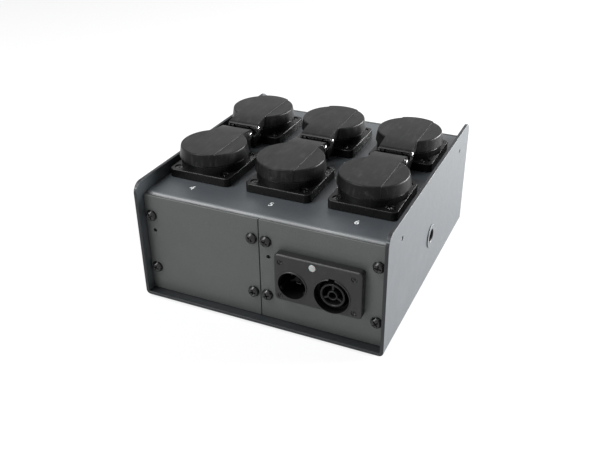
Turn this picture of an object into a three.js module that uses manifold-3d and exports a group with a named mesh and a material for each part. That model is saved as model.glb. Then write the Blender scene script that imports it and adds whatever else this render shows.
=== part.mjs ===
// Portable power distribution box: six earthed sockets with sprung lids on a sheet metal box,
// with two front module panels, one of which carries a power inlet and outlet.
// Millimetres, +X right, +Y to the rear, +Z up. The origin lies under the middle of the box,
// at the height of the surface that its feet stand on.

import * as THREE from 'three';
import { mergeVertices } from 'three/addons/utils/BufferGeometryUtils.js';
import Module from 'manifold-3d';

const wasm = await Module();
wasm.setup();

// ---------------------------------------------------------------------------------------------
// Driving dimensions
// ---------------------------------------------------------------------------------------------

const CLEARANCE = 0.3; // between pieces that lie against each other

const box = {
  width: 188, depth: 205, height: 92, wall: 2.5, bendRadius: 3.5, cornerRadius: 8, footHeight: 2,
};
const deck = { drop: 9.7, sheet: 2, bendRadius: 4, tabWidth: 16, tabHeight: 14, mullion: 11, lip: 7 };
const panel = { recess: 7, sheet: 2, topDrop: 1, seamGap: 0.6, cornerRadius: 0.8 };
const panelScrew = {
  headDiameter: 8, headHeight: 2.4, diameter: 4, length: 8, inset: 5.4, aboveEdge: 19.2, belowEdge: 15.9,
};
const pilot = { diameter: 3, inset: 7, belowEdge: 28 };
const sideScrew = { diameter: 3, length: 7, sink: 0.4, inset: 28.25, belowDeck: 5.3 };
const bush = { flange: 18, flangeHeight: 0.6, body: 13, bore: 10.2, length: 13, height: 38.8 };
const foot = { diameter: 15, inset: 17 };

const sockets = { columns: 3, pitch: 62.7, aisle: 5.4, shift: -1.2 };
const housing = {
  bore: 40, cupWall: 1.8, cupDepth: 27, spigotWall: 2.6, rim: 10.5, collarWall: 4.6, collarHeight: 5.8,
  collarDepth: 1, flangeEdge: 5, flangeHeight: 6.7, flangeCorner: 4,
};
const insert = { faceDepth: 17.5, backDepth: 28.4, contactSpacing: 19, contactHole: 5.4, contactDepth: 14,
  earthWidth: 8, earthDepth: 2.2 };
const lid = {
  gap: 1.7, flare: 1.3, topHeight: 15, bottomHeight: 6.4, roof: 2, skirt: 1.4, bandHeight: 0.4,
};
const hinge = {
  offset: 7.7, height: 9.5, barrel: 4.1, pocket: 3.2, tabWidth: 24.6, cheek: 1.6, lug: 2.2,
  lugRadius: 2.7, stemFront: 1.8, baseTop: 4.6, baseDrop: 4, baseBack: 3.9, baseLap: 4, roofEnd: 37,
};
const pin = { diameter: 2.4, head: 3.8, headHeight: 0.7 };
const spring = { outer: 5.4, inner: 3.2, length: 12, wire: 1 };

const connector = {
  width: 63.6, height: 36.6, corner: 3, proud: 6.5, centreX: 45.8, raised: 1.25,
  sideLap: 3.3, endLap: 1.3, bodyCorner: 2, bodyDepth: 33,
};
// Places on the connector's face are measured from its centre.
const inlet = {
  well: 20.4, depth: 28, x: -18.3, z: -4, plug: 6, bladeWidth: 5, bladeThickness: 1.2, bladeLength: 14,
};
const outlet = {
  mouth: 25.2, mouthDepth: 5.6, well: 22.4, depth: 28, x: 10.6, z: -4.8, plug: 5, sleeve: 18,
  sleeveBore: 14.8, core: 7.2, coreBore: 5, spoke: 1.4, sink: 1,
};
const lamp = { diameter: 5, x: -3.5, z: 13.7, proud: 0.4, depth: 3 };
const wire = { diameter: 3, spacing: 5, run: 22, gap: 2, steps: 36 };

const ROUND = 22; // sides of the large round pieces
const SMALL = 8; // sides of screws, pins and small holes

// Heights and depths that follow from the values above
const base = box.footHeight;
const shellTop = base + box.height;
const deckTop = shellTop - deck.drop;
const innerHalfWidth = box.width / 2 - box.wall;
const panelFace = -box.depth / 2 + panel.recess;
const panelBack = panelFace + panel.sheet;
const deckFront = panelBack + CLEARANCE;
const panelBottom = base + box.wall + CLEARANCE;
const panelTop = deckTop - panel.topDrop;
const flangeTop = deckTop + housing.flangeHeight;
const cupDiameter = housing.bore + 2 * housing.cupWall;
const spigotDiameter = housing.bore + 2 * housing.spigotWall;
const collarDiameter = housing.bore + 2 * housing.collarWall;
const flangeWidth = housing.bore + 2 * housing.flangeEdge;
const lidTop = spigotDiameter + 2 * (lid.gap + lid.skirt) - 2 * lid.flare;
const lidBottom = lidTop + 2 * lid.flare;
const hingeReach = lidBottom / 2 + hinge.offset;

// ---------------------------------------------------------------------------------------------
// Finishes
// ---------------------------------------------------------------------------------------------

const finish = {
  powderCoat: { color: 0x4d5357, roughness: 0.55, metalness: 0.2 },
  panelCoat: { color: 0x4b4f4e, roughness: 0.55, metalness: 0.2 },
  blackPlastic: { color: 0x17181a, roughness: 0.45, metalness: 0 },
  lidPlastic: { color: 0x2a2b2c, roughness: 0.5, metalness: 0 },
  insertPlastic: { color: 0x202123, roughness: 0.5, metalness: 0 },
  blackSteel: { color: 0x1a1b1c, roughness: 0.4, metalness: 0.8 },
  brightSteel: { color: 0xc8c9c8, roughness: 0.25, metalness: 1 },
  rubber: { color: 0x151515, roughness: 0.85, metalness: 0 },
  lens: { color: 0xe8ebea, roughness: 0.2, metalness: 0 },
  brownWire: { color: 0x5b3620, roughness: 0.6, metalness: 0 },
  blueWire: { color: 0x1f4f9c, roughness: 0.6, metalness: 0 },
  earthWire: { color: 0x7ea437, roughness: 0.6, metalness: 0 },
};

// ---------------------------------------------------------------------------------------------
// Solids
// ---------------------------------------------------------------------------------------------

// Turns a closed geometry into a solid whose faces point outwards.
function solid(geometry) {
  const bare = geometry.index ? geometry.toNonIndexed() : geometry.clone();
  for (const name of Object.keys(bare.attributes)) {
    if (name !== 'position') bare.deleteAttribute(name);
  }
  const merged = mergeVertices(bare, 1e-4);
  const positions = merged.attributes.position.array;
  const corner = (i) => new THREE.Vector3().fromArray(positions, 3 * i);
  let triangles = [];
  for (let i = 0; i < merged.index.count; i += 3) {
    const [a, b, c] = [0, 1, 2].map((k) => merged.index.getX(i + k));
    if (a !== b && b !== c && c !== a) triangles.push([a, b, c]);
  }
  const volume = triangles.reduce(
    (sum, [a, b, c]) => sum + corner(a).dot(corner(b).cross(corner(c))), 0);
  if (volume < 0) triangles = triangles.map(([a, b, c]) => [a, c, b]);
  return new wasm.Manifold(new wasm.Mesh({
    numProp: 3,
    vertProperties: Float32Array.from(positions),
    triVerts: Uint32Array.from(triangles.flat()),
  }));
}

function geometryOf(manifold) {
  const mesh = manifold.getMesh();
  const geometry = new THREE.BufferGeometry();
  geometry.setAttribute('position', new THREE.BufferAttribute(Float32Array.from(mesh.vertProperties), 3));
  geometry.setIndex(new THREE.BufferAttribute(Uint32Array.from(mesh.triVerts), 1));
  geometry.computeVertexNormals();
  return geometry;
}

const join = (first, ...others) => others.reduce((sum, other) => sum.add(other), first);
const cut = (first, ...others) => others.reduce((rest, other) => rest.subtract(other), first);
const common = (first, other) => first.intersect(other);

const AXES = {
  x: [new THREE.Vector3(0, 1, 0), new THREE.Vector3(0, 0, 1), new THREE.Vector3(1, 0, 0)],
  y: [new THREE.Vector3(-1, 0, 0), new THREE.Vector3(0, 0, 1), new THREE.Vector3(0, 1, 0)],
  z: [new THREE.Vector3(1, 0, 0), new THREE.Vector3(0, 1, 0), new THREE.Vector3(0, 0, 1)],
};

// Extrudes an outline along an axis. Outlines are drawn in (Y, Z) for x, (-X, Z) for y, (X, Y) for z.
function prism(shape, axis, from, to, curveSegments = 6) {
  const geometry = new THREE.ExtrudeGeometry(shape, {
    depth: to - from, bevelEnabled: false, curveSegments,
  });
  geometry.translate(0, 0, from);
  geometry.applyMatrix4(new THREE.Matrix4().makeBasis(...AXES[axis]));
  return solid(geometry);
}

function polygon(points) {
  return new THREE.Shape(points.map(([u, v]) => new THREE.Vector2(u, v)));
}

// An upright rectangle with round corners about (cu, cv).
function roundedRectangle(width, height, radius, cu = 0, cv = 0) {
  const [left, right] = [cu - width / 2, cu + width / 2];
  const [low, high] = [cv - height / 2, cv + height / 2];
  const shape = new THREE.Shape();
  shape.moveTo(left + radius, low);
  shape.lineTo(right - radius, low);
  shape.absarc(right - radius, low + radius, radius, -Math.PI / 2, 0);
  shape.lineTo(right, high - radius);
  shape.absarc(right - radius, high - radius, radius, 0, Math.PI / 2);
  shape.lineTo(left + radius, high);
  shape.absarc(left + radius, high - radius, radius, Math.PI / 2, Math.PI);
  shape.lineTo(left, low + radius);
  shape.absarc(left + radius, low + radius, radius, Math.PI, 1.5 * Math.PI);
  return shape;
}

function block(x0, x1, y0, y1, z0, z1) {
  const geometry = new THREE.BoxGeometry(x1 - x0, y1 - y0, z1 - z0);
  geometry.translate((x0 + x1) / 2, (y0 + y1) / 2, (z0 + z1) / 2);
  return solid(geometry);
}

// A round rod or cone along an axis, from one end to the other.
function rod(axis, [cx, cy, cz], from, to, diameter, sides = SMALL, endDiameter = diameter) {
  const geometry = new THREE.CylinderGeometry(endDiameter / 2, diameter / 2, to - from, sides);
  geometry.translate(0, (from + to) / 2, 0);
  if (axis === 'x') geometry.rotateZ(-Math.PI / 2);
  if (axis === 'z') geometry.rotateX(Math.PI / 2);
  geometry.translate(cx, cy, cz);
  return solid(geometry);
}

// A body turned about +Z from (radius, height) points.
function turned(points, sides) {
  const profile = points.map(([radius, height]) => new THREE.Vector2(radius, height));
  const geometry = new THREE.LatheGeometry(profile, sides);
  geometry.rotateX(Math.PI / 2);
  return solid(geometry);
}

const arcPoints = (cu, cv, radius, startDegrees, endDegrees, count) =>
  Array.from({ length: count + 1 }, (_, i) => {
    const angle = THREE.MathUtils.degToRad(startDegrees + (endDegrees - startDegrees) * i / count);
    return [cu + radius * Math.cos(angle), cv + radius * Math.sin(angle)];
  });

const assembly = new THREE.Group();

function place(name, shape, material, parent = assembly) {
  const mesh = new THREE.Mesh(geometryOf(shape), new THREE.MeshStandardMaterial(material));
  mesh.name = name;
  parent.add(mesh);
  return mesh;
}

function frameAt(x, y, z, turn = 0, parent = assembly) {
  const group = new THREE.Group();
  group.position.set(x, y, z);
  group.rotation.z = turn;
  parent.add(group);
  return group;
}

// ---------------------------------------------------------------------------------------------
// Sheet metal
// ---------------------------------------------------------------------------------------------

const sideScrewYs = [-1, 1].map((end) => end * (box.depth / 2 - sideScrew.inset));
const sideScrewZ = deckTop - sideScrew.belowDeck;
const bushZ = base + bush.height;

// Floor and both side walls, bent from one sheet.
function shell() {
  const half = box.width / 2;
  const { wall, bendRadius } = box;
  const outline = polygon([
    [-half, shellTop],
    ...arcPoints(-half + bendRadius, base + bendRadius, bendRadius, 180, 270, 5),
    ...arcPoints(half - bendRadius, base + bendRadius, bendRadius, 270, 360, 5),
    [half, shellTop],
    [half - wall, shellTop],
    ...arcPoints(half - bendRadius, base + bendRadius, bendRadius - wall, 360, 270, 3),
    ...arcPoints(-half + bendRadius, base + bendRadius, bendRadius - wall, 270, 180, 3),
    [-half + wall, shellTop],
  ]);
  const folded = prism(outline, 'y', -box.depth / 2, box.depth / 2);
  const { cornerRadius, depth } = box;
  const side = polygon([
    [-depth / 2, 0],
    [depth / 2, 0],
    ...arcPoints(depth / 2 - cornerRadius, shellTop - cornerRadius, cornerRadius, 0, 90, 6),
    ...arcPoints(-depth / 2 + cornerRadius, shellTop - cornerRadius, cornerRadius, 90, 180, 6),
  ]);
  const trimmed = common(folded, prism(side, 'x', -box.width, box.width));
  const holes = sideScrewYs.map((y) =>
    rod('x', [0, y, sideScrewZ], -box.width, box.width, sideScrew.diameter + CLEARANCE));
  const bushHole = rod('x', [0, 0, bushZ], -box.width, box.width, bush.body + CLEARANCE, 20);
  return cut(trimmed, bushHole, ...holes);
}

const columnXs = Array.from({ length: sockets.columns }, (_, i) =>
  sockets.shift + (i - (sockets.columns - 1) / 2) * sockets.pitch);
const rowOffset = hingeReach + hinge.barrel + sockets.aisle / 2;
const rowYs = [-rowOffset, rowOffset];
const panelScrewXs = [-1, 1].map((side) =>
  [panelScrew.inset, innerHalfWidth - panelScrew.inset].map((x) => side * x)).flat();
const panelScrewZs = [panelBottom + panelScrew.aboveEdge, panelTop - panelScrew.belowEdge];

// Top sheet with its front and rear bent down to the floor, opened behind each module.
function deckCover() {
  const halfWidth = innerHalfWidth - CLEARANCE;
  const { sheet, bendRadius } = deck;
  const inner = bendRadius - sheet;
  const outline = polygon([
    [deckFront, panelBottom],
    ...arcPoints(deckFront + bendRadius, deckTop - bendRadius, bendRadius, 180, 90, 5),
    ...arcPoints(-deckFront - bendRadius, deckTop - bendRadius, bendRadius, 90, 0, 5),
    [-deckFront, panelBottom],
    [-deckFront - sheet, panelBottom],
    ...arcPoints(-deckFront - bendRadius, deckTop - bendRadius, inner, 0, 90, 3),
    ...arcPoints(deckFront + bendRadius, deckTop - bendRadius, inner, 90, 180, 3),
    [deckFront + sheet, panelBottom],
  ]);
  const folded = prism(outline, 'x', -halfWidth, halfWidth);
  const tabs = [-1, 1].flatMap((side) => sideScrewYs.map((y) => {
    const [near, far] = [side * (halfWidth - sheet), side * halfWidth].sort((a, b) => a - b);
    return block(near, far, y - deck.tabWidth / 2, y + deck.tabWidth / 2,
      deckTop - deck.tabHeight, deckTop - sheet / 2);
  }));
  const windows = [-1, 1].map((side) => {
    const [left, right] = [side * deck.mullion, side * (innerHalfWidth - deck.mullion)].sort((a, b) => a - b);
    return block(left, right, -box.depth, box.depth, panelBottom + deck.lip, deckTop - bendRadius - deck.lip);
  });
  const cups = rowYs.flatMap((y) => columnXs.map((x) =>
    rod('z', [x, y, 0], deckTop - 3 * sheet, deckTop + sheet, cupDiameter + 4 * CLEARANCE, ROUND)));
  const frontHoles = panelScrewXs.flatMap((x) => panelScrewZs.map((z) =>
    rod('y', [x, 0, z], deckFront - sheet, deckFront + 2 * sheet, panelScrew.diameter + CLEARANCE)));
  const sideHoles = sideScrewYs.map((y) =>
    rod('x', [0, y, sideScrewZ], -box.width, box.width, sideScrew.diameter + CLEARANCE));
  return cut(join(folded, ...tabs), ...windows, ...cups, ...frontHoles, ...sideHoles);
}

const bodyWidth = connector.width - 2 * connector.sideLap;
const bodyHeight = connector.height - 2 * connector.endLap;
const connectorZ = (panelBottom + panelTop) / 2 + connector.raised;

// A front module panel. Its outline is drawn in (-X, Z).
function modulePanel(side, withConnector) {
  const width = innerHalfWidth - CLEARANCE - panel.seamGap / 2;
  const centre = side * (panel.seamGap / 2 + width / 2);
  const height = panelTop - panelBottom;
  const shape = roundedRectangle(width, height, panel.cornerRadius, -centre, panelBottom + height / 2);
  const plate = prism(shape, 'y', panelFace, panelBack, 2);
  const screwHoles = panelScrewXs.filter((x) => Math.sign(x) === side).flatMap((x) =>
    panelScrewZs.map((z) =>
      rod('y', [x, 0, z], panelFace - 1, panelBack + 1, panelScrew.diameter + CLEARANCE)));
  const pilotX = side > 0 ? pilot.inset : -innerHalfWidth + pilot.inset;
  const pilotHole = rod('y', [pilotX, 0, panelTop - pilot.belowEdge], panelFace - 1, panelBack + 1,
    pilot.diameter);
  const bare = cut(plate, pilotHole, ...screwHoles);
  if (!withConnector) return bare;
  const opening = roundedRectangle(bodyWidth + 2 * CLEARANCE, bodyHeight + 2 * CLEARANCE,
    connector.bodyCorner, -connector.centreX, connectorZ);
  return cut(bare, prism(opening, 'y', panelFace - 1, panelBack + 1, 3));
}

function rearPanel() {
  const width = 2 * (innerHalfWidth - CLEARANCE);
  const height = panelTop - panelBottom;
  const shape = roundedRectangle(width, height, panel.cornerRadius, 0, panelBottom + height / 2);
  return prism(shape, 'y', -panelBack, -panelFace, 2);
}

place('shell', shell(), finish.powderCoat);
place('deck', deckCover(), finish.powderCoat);
place('blank_module_panel', modulePanel(-1, false), finish.panelCoat);
place('power_module_panel', modulePanel(1, true), finish.panelCoat);
place('rear_panel', rearPanel(), finish.panelCoat);

// ---------------------------------------------------------------------------------------------
// Screws, bushes and feet
// ---------------------------------------------------------------------------------------------

// Head towards +Z, shank down; the head's seat is at height 0.
function panHeadScrew() {
  const headRadius = panelScrew.headDiameter / 2;
  const shankRadius = panelScrew.diameter / 2;
  return turned([
    [0, -panelScrew.length], [shankRadius, -panelScrew.length], [shankRadius, 0], [headRadius, 0],
    [headRadius, 0.4 * panelScrew.headHeight], [0.6 * headRadius, 0.95 * panelScrew.headHeight],
    [0, panelScrew.headHeight],
  ], SMALL);
}

panelScrewXs.forEach((x, i) => panelScrewZs.forEach((z, j) => {
  const name = `panel_screw_${['left_inner', 'left_outer', 'right_inner', 'right_outer'][i]}`;
  const screw = place(`${name}_${['lower', 'upper'][j]}`, panHeadScrew(), finish.blackSteel);
  screw.position.set(x, panelFace - CLEARANCE, z);
  screw.rotation.x = Math.PI / 2;
}));

for (const [side, sideName] of [[-1, 'left'], [1, 'right']]) {
  sideScrewYs.forEach((y, i) => {
    const outer = box.width / 2 - sideScrew.sink;
    const ends = [side * (outer - sideScrew.length), side * outer].sort((a, b) => a - b);
    const name = `deck_screw_${sideName}_${['front', 'rear'][i]}`;
    place(name, rod('x', [0, y, sideScrewZ], ...ends, sideScrew.diameter), finish.blackSteel);
  });
  const seat = frameAt(side * (box.width / 2), 0, bushZ);
  seat.rotation.y = side * Math.PI / 2;
  const { flange, flangeHeight, body, bore, length } = bush;
  const seatHeight = CLEARANCE / 2;
  place(`side_bush_${sideName}`, turned([
    [bore / 2, -length], [body / 2, -length], [body / 2, seatHeight], [flange / 2, seatHeight],
    [flange / 2, seatHeight + flangeHeight], [bore / 2, seatHeight + flangeHeight], [bore / 2, -length],
  ], 20), finish.powderCoat, seat);
  for (const [end, endName] of [[-1, 'front'], [1, 'rear']]) {
    const [x, y] = [side * (box.width / 2 - foot.inset), end * (box.depth / 2 - foot.inset)];
    place(`foot_${sideName}_${endName}`,
      rod('z', [x, y, 0], 0, base - CLEARANCE / 2, foot.diameter, 16), finish.rubber);
  }
}

// ---------------------------------------------------------------------------------------------
// Sockets: each is drawn about the centre of its flange top, with its hinge towards +Y
// ---------------------------------------------------------------------------------------------

const pinCentre = [0, hingeReach, hinge.height];
const tabHalf = hinge.tabWidth / 2;
const lugOuter = tabHalf - hinge.cheek - 1.2 * CLEARANCE;

function socketHousing() {
  const { flangeHeight, flangeCorner, collarHeight, collarDepth, rim, bore, cupDepth } = housing;
  const [cup, collar, spigot] = [cupDiameter, collarDiameter, spigotDiameter].map((width) => width / 2);
  const plate = prism(roundedRectangle(flangeWidth, flangeWidth, flangeCorner), 'z',
    -flangeHeight + CLEARANCE, 0, 3);
  const body = turned([
    [0, -cupDepth], [cup, -cupDepth], [cup, -collarDepth], [collar, -collarDepth], [collar, collarHeight],
    [spigot, collarHeight], [spigot, rim], [0, rim],
  ], ROUND);
  const hingeBase = block(-lugOuter, lugOuter, collar - hinge.baseLap, hingeReach + hinge.baseBack,
    -hinge.baseDrop, hinge.baseTop);
  const lugs = [-1, 1].map((side) => {
    const [x0, x1] = [side * (lugOuter - hinge.lug), side * lugOuter].sort((a, b) => a - b);
    const stem = block(x0, x1, hingeReach - hinge.lugRadius, hingeReach + hinge.stemFront,
      hinge.baseTop - 1, hinge.height);
    return join(stem, rod('x', pinCentre, x0, x1, 2 * hinge.lugRadius, 10));
  });
  const pinHole = rod('x', pinCentre, -tabHalf, tabHalf, pin.diameter + 2 * CLEARANCE);
  const well = rod('z', [0, 0, 0], -cupDepth - 1, rim + 1, bore, ROUND);
  return cut(join(plate, body, hingeBase, ...lugs), well, pinHole);
}

function socketInsert() {
  const face = housing.rim - insert.faceDepth;
  const disc = rod('z', [0, 0, 0], -insert.backDepth, face, housing.bore - 2 * CLEARANCE, ROUND);
  const contacts = [-1, 1].map((side) =>
    rod('z', [side * insert.contactSpacing / 2, 0, 0], face - insert.contactDepth, face + 1,
      insert.contactHole));
  const edge = housing.bore / 2;
  const notches = [-1, 1].map((side) => {
    const [y0, y1] = [side * (edge - insert.earthDepth), side * (edge + 1)].sort((a, b) => a - b);
    return block(-insert.earthWidth / 2, insert.earthWidth / 2, y0, y1, face - insert.contactDepth, face + 1);
  });
  return cut(disc, ...contacts, ...notches);
}

// Round hood with a flat hinge tab, a raised band across it and two cheeks for the pin.
function socketLid() {
  const { topHeight, bottomHeight, roof, skirt, bandHeight } = lid;
  const [top, bottom] = [lidTop, lidBottom];
  const hood = rod('z', [0, 0, 0], bottomHeight, topHeight, bottom, ROUND, top);
  const raised = rod('z', [0, 0, 0], bottomHeight, topHeight + bandHeight,
    bottom + 2 * bandHeight, ROUND, top + 2 * bandHeight);
  const bandEnd = Math.sqrt((top / 2) ** 2 - tabHalf ** 2);
  const band = common(raised, block(-tabHalf, tabHalf, -bottom, bandEnd, 0, 2 * topHeight));
  const cavity = rod('z', [0, 0, 0], bottomHeight - 1, topHeight - roof,
    bottom - 2 * skirt, ROUND, top - 2 * skirt);
  const { height, barrel, pocket, roofEnd, cheek } = hinge;
  const roofTop = topHeight + bandHeight;
  const tab = prism(polygon([
    [bandEnd - 3, roofTop], [bandEnd, roofTop],
    ...arcPoints(hingeReach, height, barrel, 86, roofEnd, 4),
    ...arcPoints(hingeReach, height, pocket, roofEnd, 90, 3),
    [bandEnd + 3, topHeight - roof], [bandEnd - 3, topHeight - roof],
  ]), 'x', -tabHalf, tabHalf);
  const cheeks = [-1, 1].map((side) => {
    const [x0, x1] = [side * (tabHalf - cheek), side * tabHalf].sort((a, b) => a - b);
    const web = prism(polygon([
      [bandEnd + 0.8, topHeight - 1.2], [bandEnd + 2, height - 0.6], [hingeReach, height - barrel],
      [hingeReach, height + barrel],
    ]), 'x', x0, x1);
    return join(web, rod('x', pinCentre, x0, x1, 2 * barrel, 10));
  });
  const pinHole = rod('x', pinCentre, -tabHalf - 1, tabHalf + 1, pin.diameter + 2 * CLEARANCE);
  return cut(join(cut(join(hood, band), cavity), tab, ...cheeks), pinHole);
}

function hingePin() {
  const half = tabHalf + CLEARANCE;
  const [thin, thick] = [pin.diameter / 2, pin.head / 2];
  return turned([
    [0, -half - pin.headHeight], [thick, -half - pin.headHeight], [thick, -half], [thin, -half],
    [thin, half], [thick, half], [thick, half + pin.headHeight], [0, half + pin.headHeight],
  ], 8);
}

// The coil's outer shape, with the leg that bears on the hinge base.
function lidSpring() {
  const half = spring.length / 2;
  const coil = rod('x', pinCentre, -half, half, spring.outer, 10);
  const leg = block(-half, -half + spring.wire, hingeReach - spring.wire, hingeReach,
    hinge.baseTop + CLEARANCE, hinge.height);
  return cut(join(coil, leg), rod('x', pinCentre, -half - 1, half + 1, spring.inner, 8));
}

const rowNames = ['front', 'rear'];
const columnNames = ['left', 'middle', 'right'];

rowYs.forEach((y, row) => columnXs.forEach((x, column) => {
  const where = `${rowNames[row]}_${columnNames[column] ?? column}`;
  const socket = frameAt(x, y, flangeTop, row === 0 ? 0 : Math.PI);
  place(`socket_housing_${where}`, socketHousing(), finish.blackPlastic, socket);
  place(`socket_insert_${where}`, socketInsert(), finish.insertPlastic, socket);
  place(`socket_lid_${where}`, socketLid(), finish.lidPlastic, socket);
  place(`lid_spring_${where}`, lidSpring(), finish.brightSteel, socket);
  const hingePinMesh = place(`hinge_pin_${where}`, hingePin(), finish.brightSteel, socket);
  hingePinMesh.position.set(...pinCentre);
  hingePinMesh.rotation.y = Math.PI / 2;
}));

// ---------------------------------------------------------------------------------------------
// Power inlet and outlet on the right-hand module
// ---------------------------------------------------------------------------------------------

const connectorFace = panelFace - connector.proud;
const inletX = connector.centreX + inlet.x;
const inletZ = connectorZ + inlet.z;
const outletX = connector.centreX + outlet.x;
const outletZ = connectorZ + outlet.z;
const lampX = connector.centreX + lamp.x;
const lampZ = connectorZ + lamp.z;

function connectorHousing() {
  const centre = [-connector.centreX, connectorZ];
  const front = prism(roundedRectangle(connector.width, connector.height, connector.corner, ...centre),
    'y', connectorFace, panelFace - CLEARANCE, 4);
  const body = prism(roundedRectangle(bodyWidth, bodyHeight, connector.bodyCorner, ...centre),
    'y', panelFace - 1, panelFace + connector.bodyDepth, 3);
  const inletWell = rod('y', [inletX, 0, inletZ], connectorFace - 1, connectorFace + inlet.depth,
    inlet.well, 24);
  const outletWell = rod('y', [outletX, 0, outletZ], connectorFace - 1, connectorFace + outlet.depth,
    outlet.well, ROUND);
  const outletMouth = rod('y', [outletX, 0, outletZ], connectorFace - 1,
    connectorFace + outlet.mouthDepth, outlet.mouth, ROUND);
  const lampHole = rod('y', [lampX, 0, lampZ], connectorFace - 1,
    connectorFace + lamp.depth + CLEARANCE, lamp.diameter + 2 * CLEARANCE);
  return cut(join(front, body), inletWell, outletMouth, outletWell, lampHole);
}

function inletInsert() {
  const back = connectorFace + inlet.depth - CLEARANCE;
  const plug = rod('y', [inletX, 0, inletZ], back - inlet.plug, back, inlet.well - 2 * CLEARANCE, 24);
  const blades = [90, 210, 330].map((degrees) => {
    const angle = THREE.MathUtils.degToRad(degrees);
    const [x, z] = [inletX + inlet.well / 4 * Math.cos(angle), inletZ + inlet.well / 4 * Math.sin(angle)];
    return block(x - inlet.bladeWidth / 2, x + inlet.bladeWidth / 2, back - inlet.plug - inlet.bladeLength,
      back - 1, z - inlet.bladeThickness / 2, z + inlet.bladeThickness / 2);
  });
  return join(plug, ...blades);
}

function outletInsert() {
  const back = connectorFace + outlet.depth - CLEARANCE;
  const front = connectorFace + outlet.sink;
  const centre = [outletX, 0, outletZ];
  const tube = (outer, bore) => cut(rod('y', centre, front, back, outer, 20),
    rod('y', centre, front - 1, back - outlet.plug, bore, 20));
  const plug = rod('y', centre, back - outlet.plug, back, outlet.well - 2 * CLEARANCE, ROUND);
  const spokes = [90, 210, 330].map((degrees) => {
    const spoke = new THREE.BoxGeometry((outlet.sleeveBore - outlet.core) / 2 + 1.6, back - front - 1,
      outlet.spoke);
    spoke.translate((outlet.sleeveBore + outlet.core) / 4, (front + 1 + back) / 2, 0);
    spoke.rotateY(-THREE.MathUtils.degToRad(degrees));
    spoke.translate(outletX, 0, outletZ);
    return solid(spoke);
  });
  return join(plug, tube(outlet.sleeve, outlet.sleeveBore), tube(outlet.core, outlet.coreBore), ...spokes);
}

place('connector_housing', connectorHousing(), finish.blackPlastic);
place('power_inlet_insert', inletInsert(), finish.insertPlastic);
place('power_outlet_insert', outletInsert(), finish.insertPlastic);
const lens = place('indicator_lens', turned([
  [0, -lamp.depth], [lamp.diameter / 2, -lamp.depth], [lamp.diameter / 2, 0.3 * lamp.proud],
  [0.6 * lamp.diameter / 2, 0.8 * lamp.proud], [0, lamp.proud],
], 16), finish.lens);
lens.position.set(lampX, connectorFace, lampZ);
lens.rotation.x = Math.PI / 2;

// ---------------------------------------------------------------------------------------------
// Conductors: each runs from the connector under the front row and back under the rear row
// ---------------------------------------------------------------------------------------------

function conductor(index) {
  const offset = (index - 1) * wire.spacing;
  const z = flangeTop - insert.backDepth - CLEARANCE - wire.diameter / 2;
  const startX = connector.centreX + offset;
  const startY = panelFace + connector.bodyDepth + CLEARANCE;
  const startZ = connectorZ;
  const [frontY, rearY] = [startY + wire.run + offset, rowYs[1] - offset];
  const leftX = -box.width / 2 + bush.length + wire.gap + wire.diameter / 2 + index * wire.spacing;
  const radius = 2 * wire.spacing + offset;
  const rise = (share) => startY + share * (frontY - startY);
  const points = [
    [startX, startY, startZ], [startX, rise(0.15), startZ], [startX - 1, rise(0.35), startZ + 3],
    [startX - 3, rise(0.6), z - 4], [startX - 9, rise(0.9), z], [startX - 20, frontY, z],
    [columnXs[1], frontY, z], [leftX + 2 * radius, frontY, z], [leftX + radius * 0.3, frontY + radius * 0.3, z],
    [leftX, frontY + 2 * radius, z], [leftX, rearY - 2 * radius, z],
    [leftX + radius * 0.3, rearY - radius * 0.3, z], [leftX + 2 * radius, rearY, z],
    [columnXs[1], rearY, z], [columnXs[columnXs.length - 1] + offset, rearY, z],
  ].map((point) => new THREE.Vector3(...point));
  const path = new THREE.CatmullRomCurve3(points, false, 'centripetal');
  const section = polygon(arcPoints(0, 0, wire.diameter / 2, 0, 300, 5));
  return solid(new THREE.ExtrudeGeometry(section, {
    steps: wire.steps, extrudePath: path, bevelEnabled: false,
  }));
}

place('live_conductor', conductor(0), finish.brownWire);
place('neutral_conductor', conductor(1), finish.blueWire);
place('earth_conductor', conductor(2), finish.earthWire);

export default assembly;
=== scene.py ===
"""Looks of the portable power distribution box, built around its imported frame."""

from __future__ import annotations

import logging
import math
from dataclasses import dataclass
from enum import Enum
from itertools import pairwise
from typing import Callable, Iterable, Sequence

import bpy
from mathutils import Euler, Matrix, Vector

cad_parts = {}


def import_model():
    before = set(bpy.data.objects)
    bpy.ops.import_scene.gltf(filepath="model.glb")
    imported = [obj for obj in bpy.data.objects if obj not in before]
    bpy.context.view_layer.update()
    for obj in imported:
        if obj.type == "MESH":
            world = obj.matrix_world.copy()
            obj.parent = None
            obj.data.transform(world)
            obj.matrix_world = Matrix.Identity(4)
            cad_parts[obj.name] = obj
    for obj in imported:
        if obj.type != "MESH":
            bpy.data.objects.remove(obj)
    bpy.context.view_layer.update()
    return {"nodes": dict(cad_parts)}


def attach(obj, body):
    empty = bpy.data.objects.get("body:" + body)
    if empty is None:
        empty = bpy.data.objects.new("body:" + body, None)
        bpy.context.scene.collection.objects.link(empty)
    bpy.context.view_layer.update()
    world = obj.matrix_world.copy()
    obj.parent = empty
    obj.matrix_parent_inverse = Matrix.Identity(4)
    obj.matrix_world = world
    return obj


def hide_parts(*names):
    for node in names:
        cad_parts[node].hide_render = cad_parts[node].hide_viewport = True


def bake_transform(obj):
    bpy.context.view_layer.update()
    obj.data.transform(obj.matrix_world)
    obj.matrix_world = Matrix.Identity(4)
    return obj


LOG = logging.getLogger("power_box")
MM = 0.001
ROOT = "root"

Point = tuple[float, float, float]
Profile = Sequence[tuple[float, float]]


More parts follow.
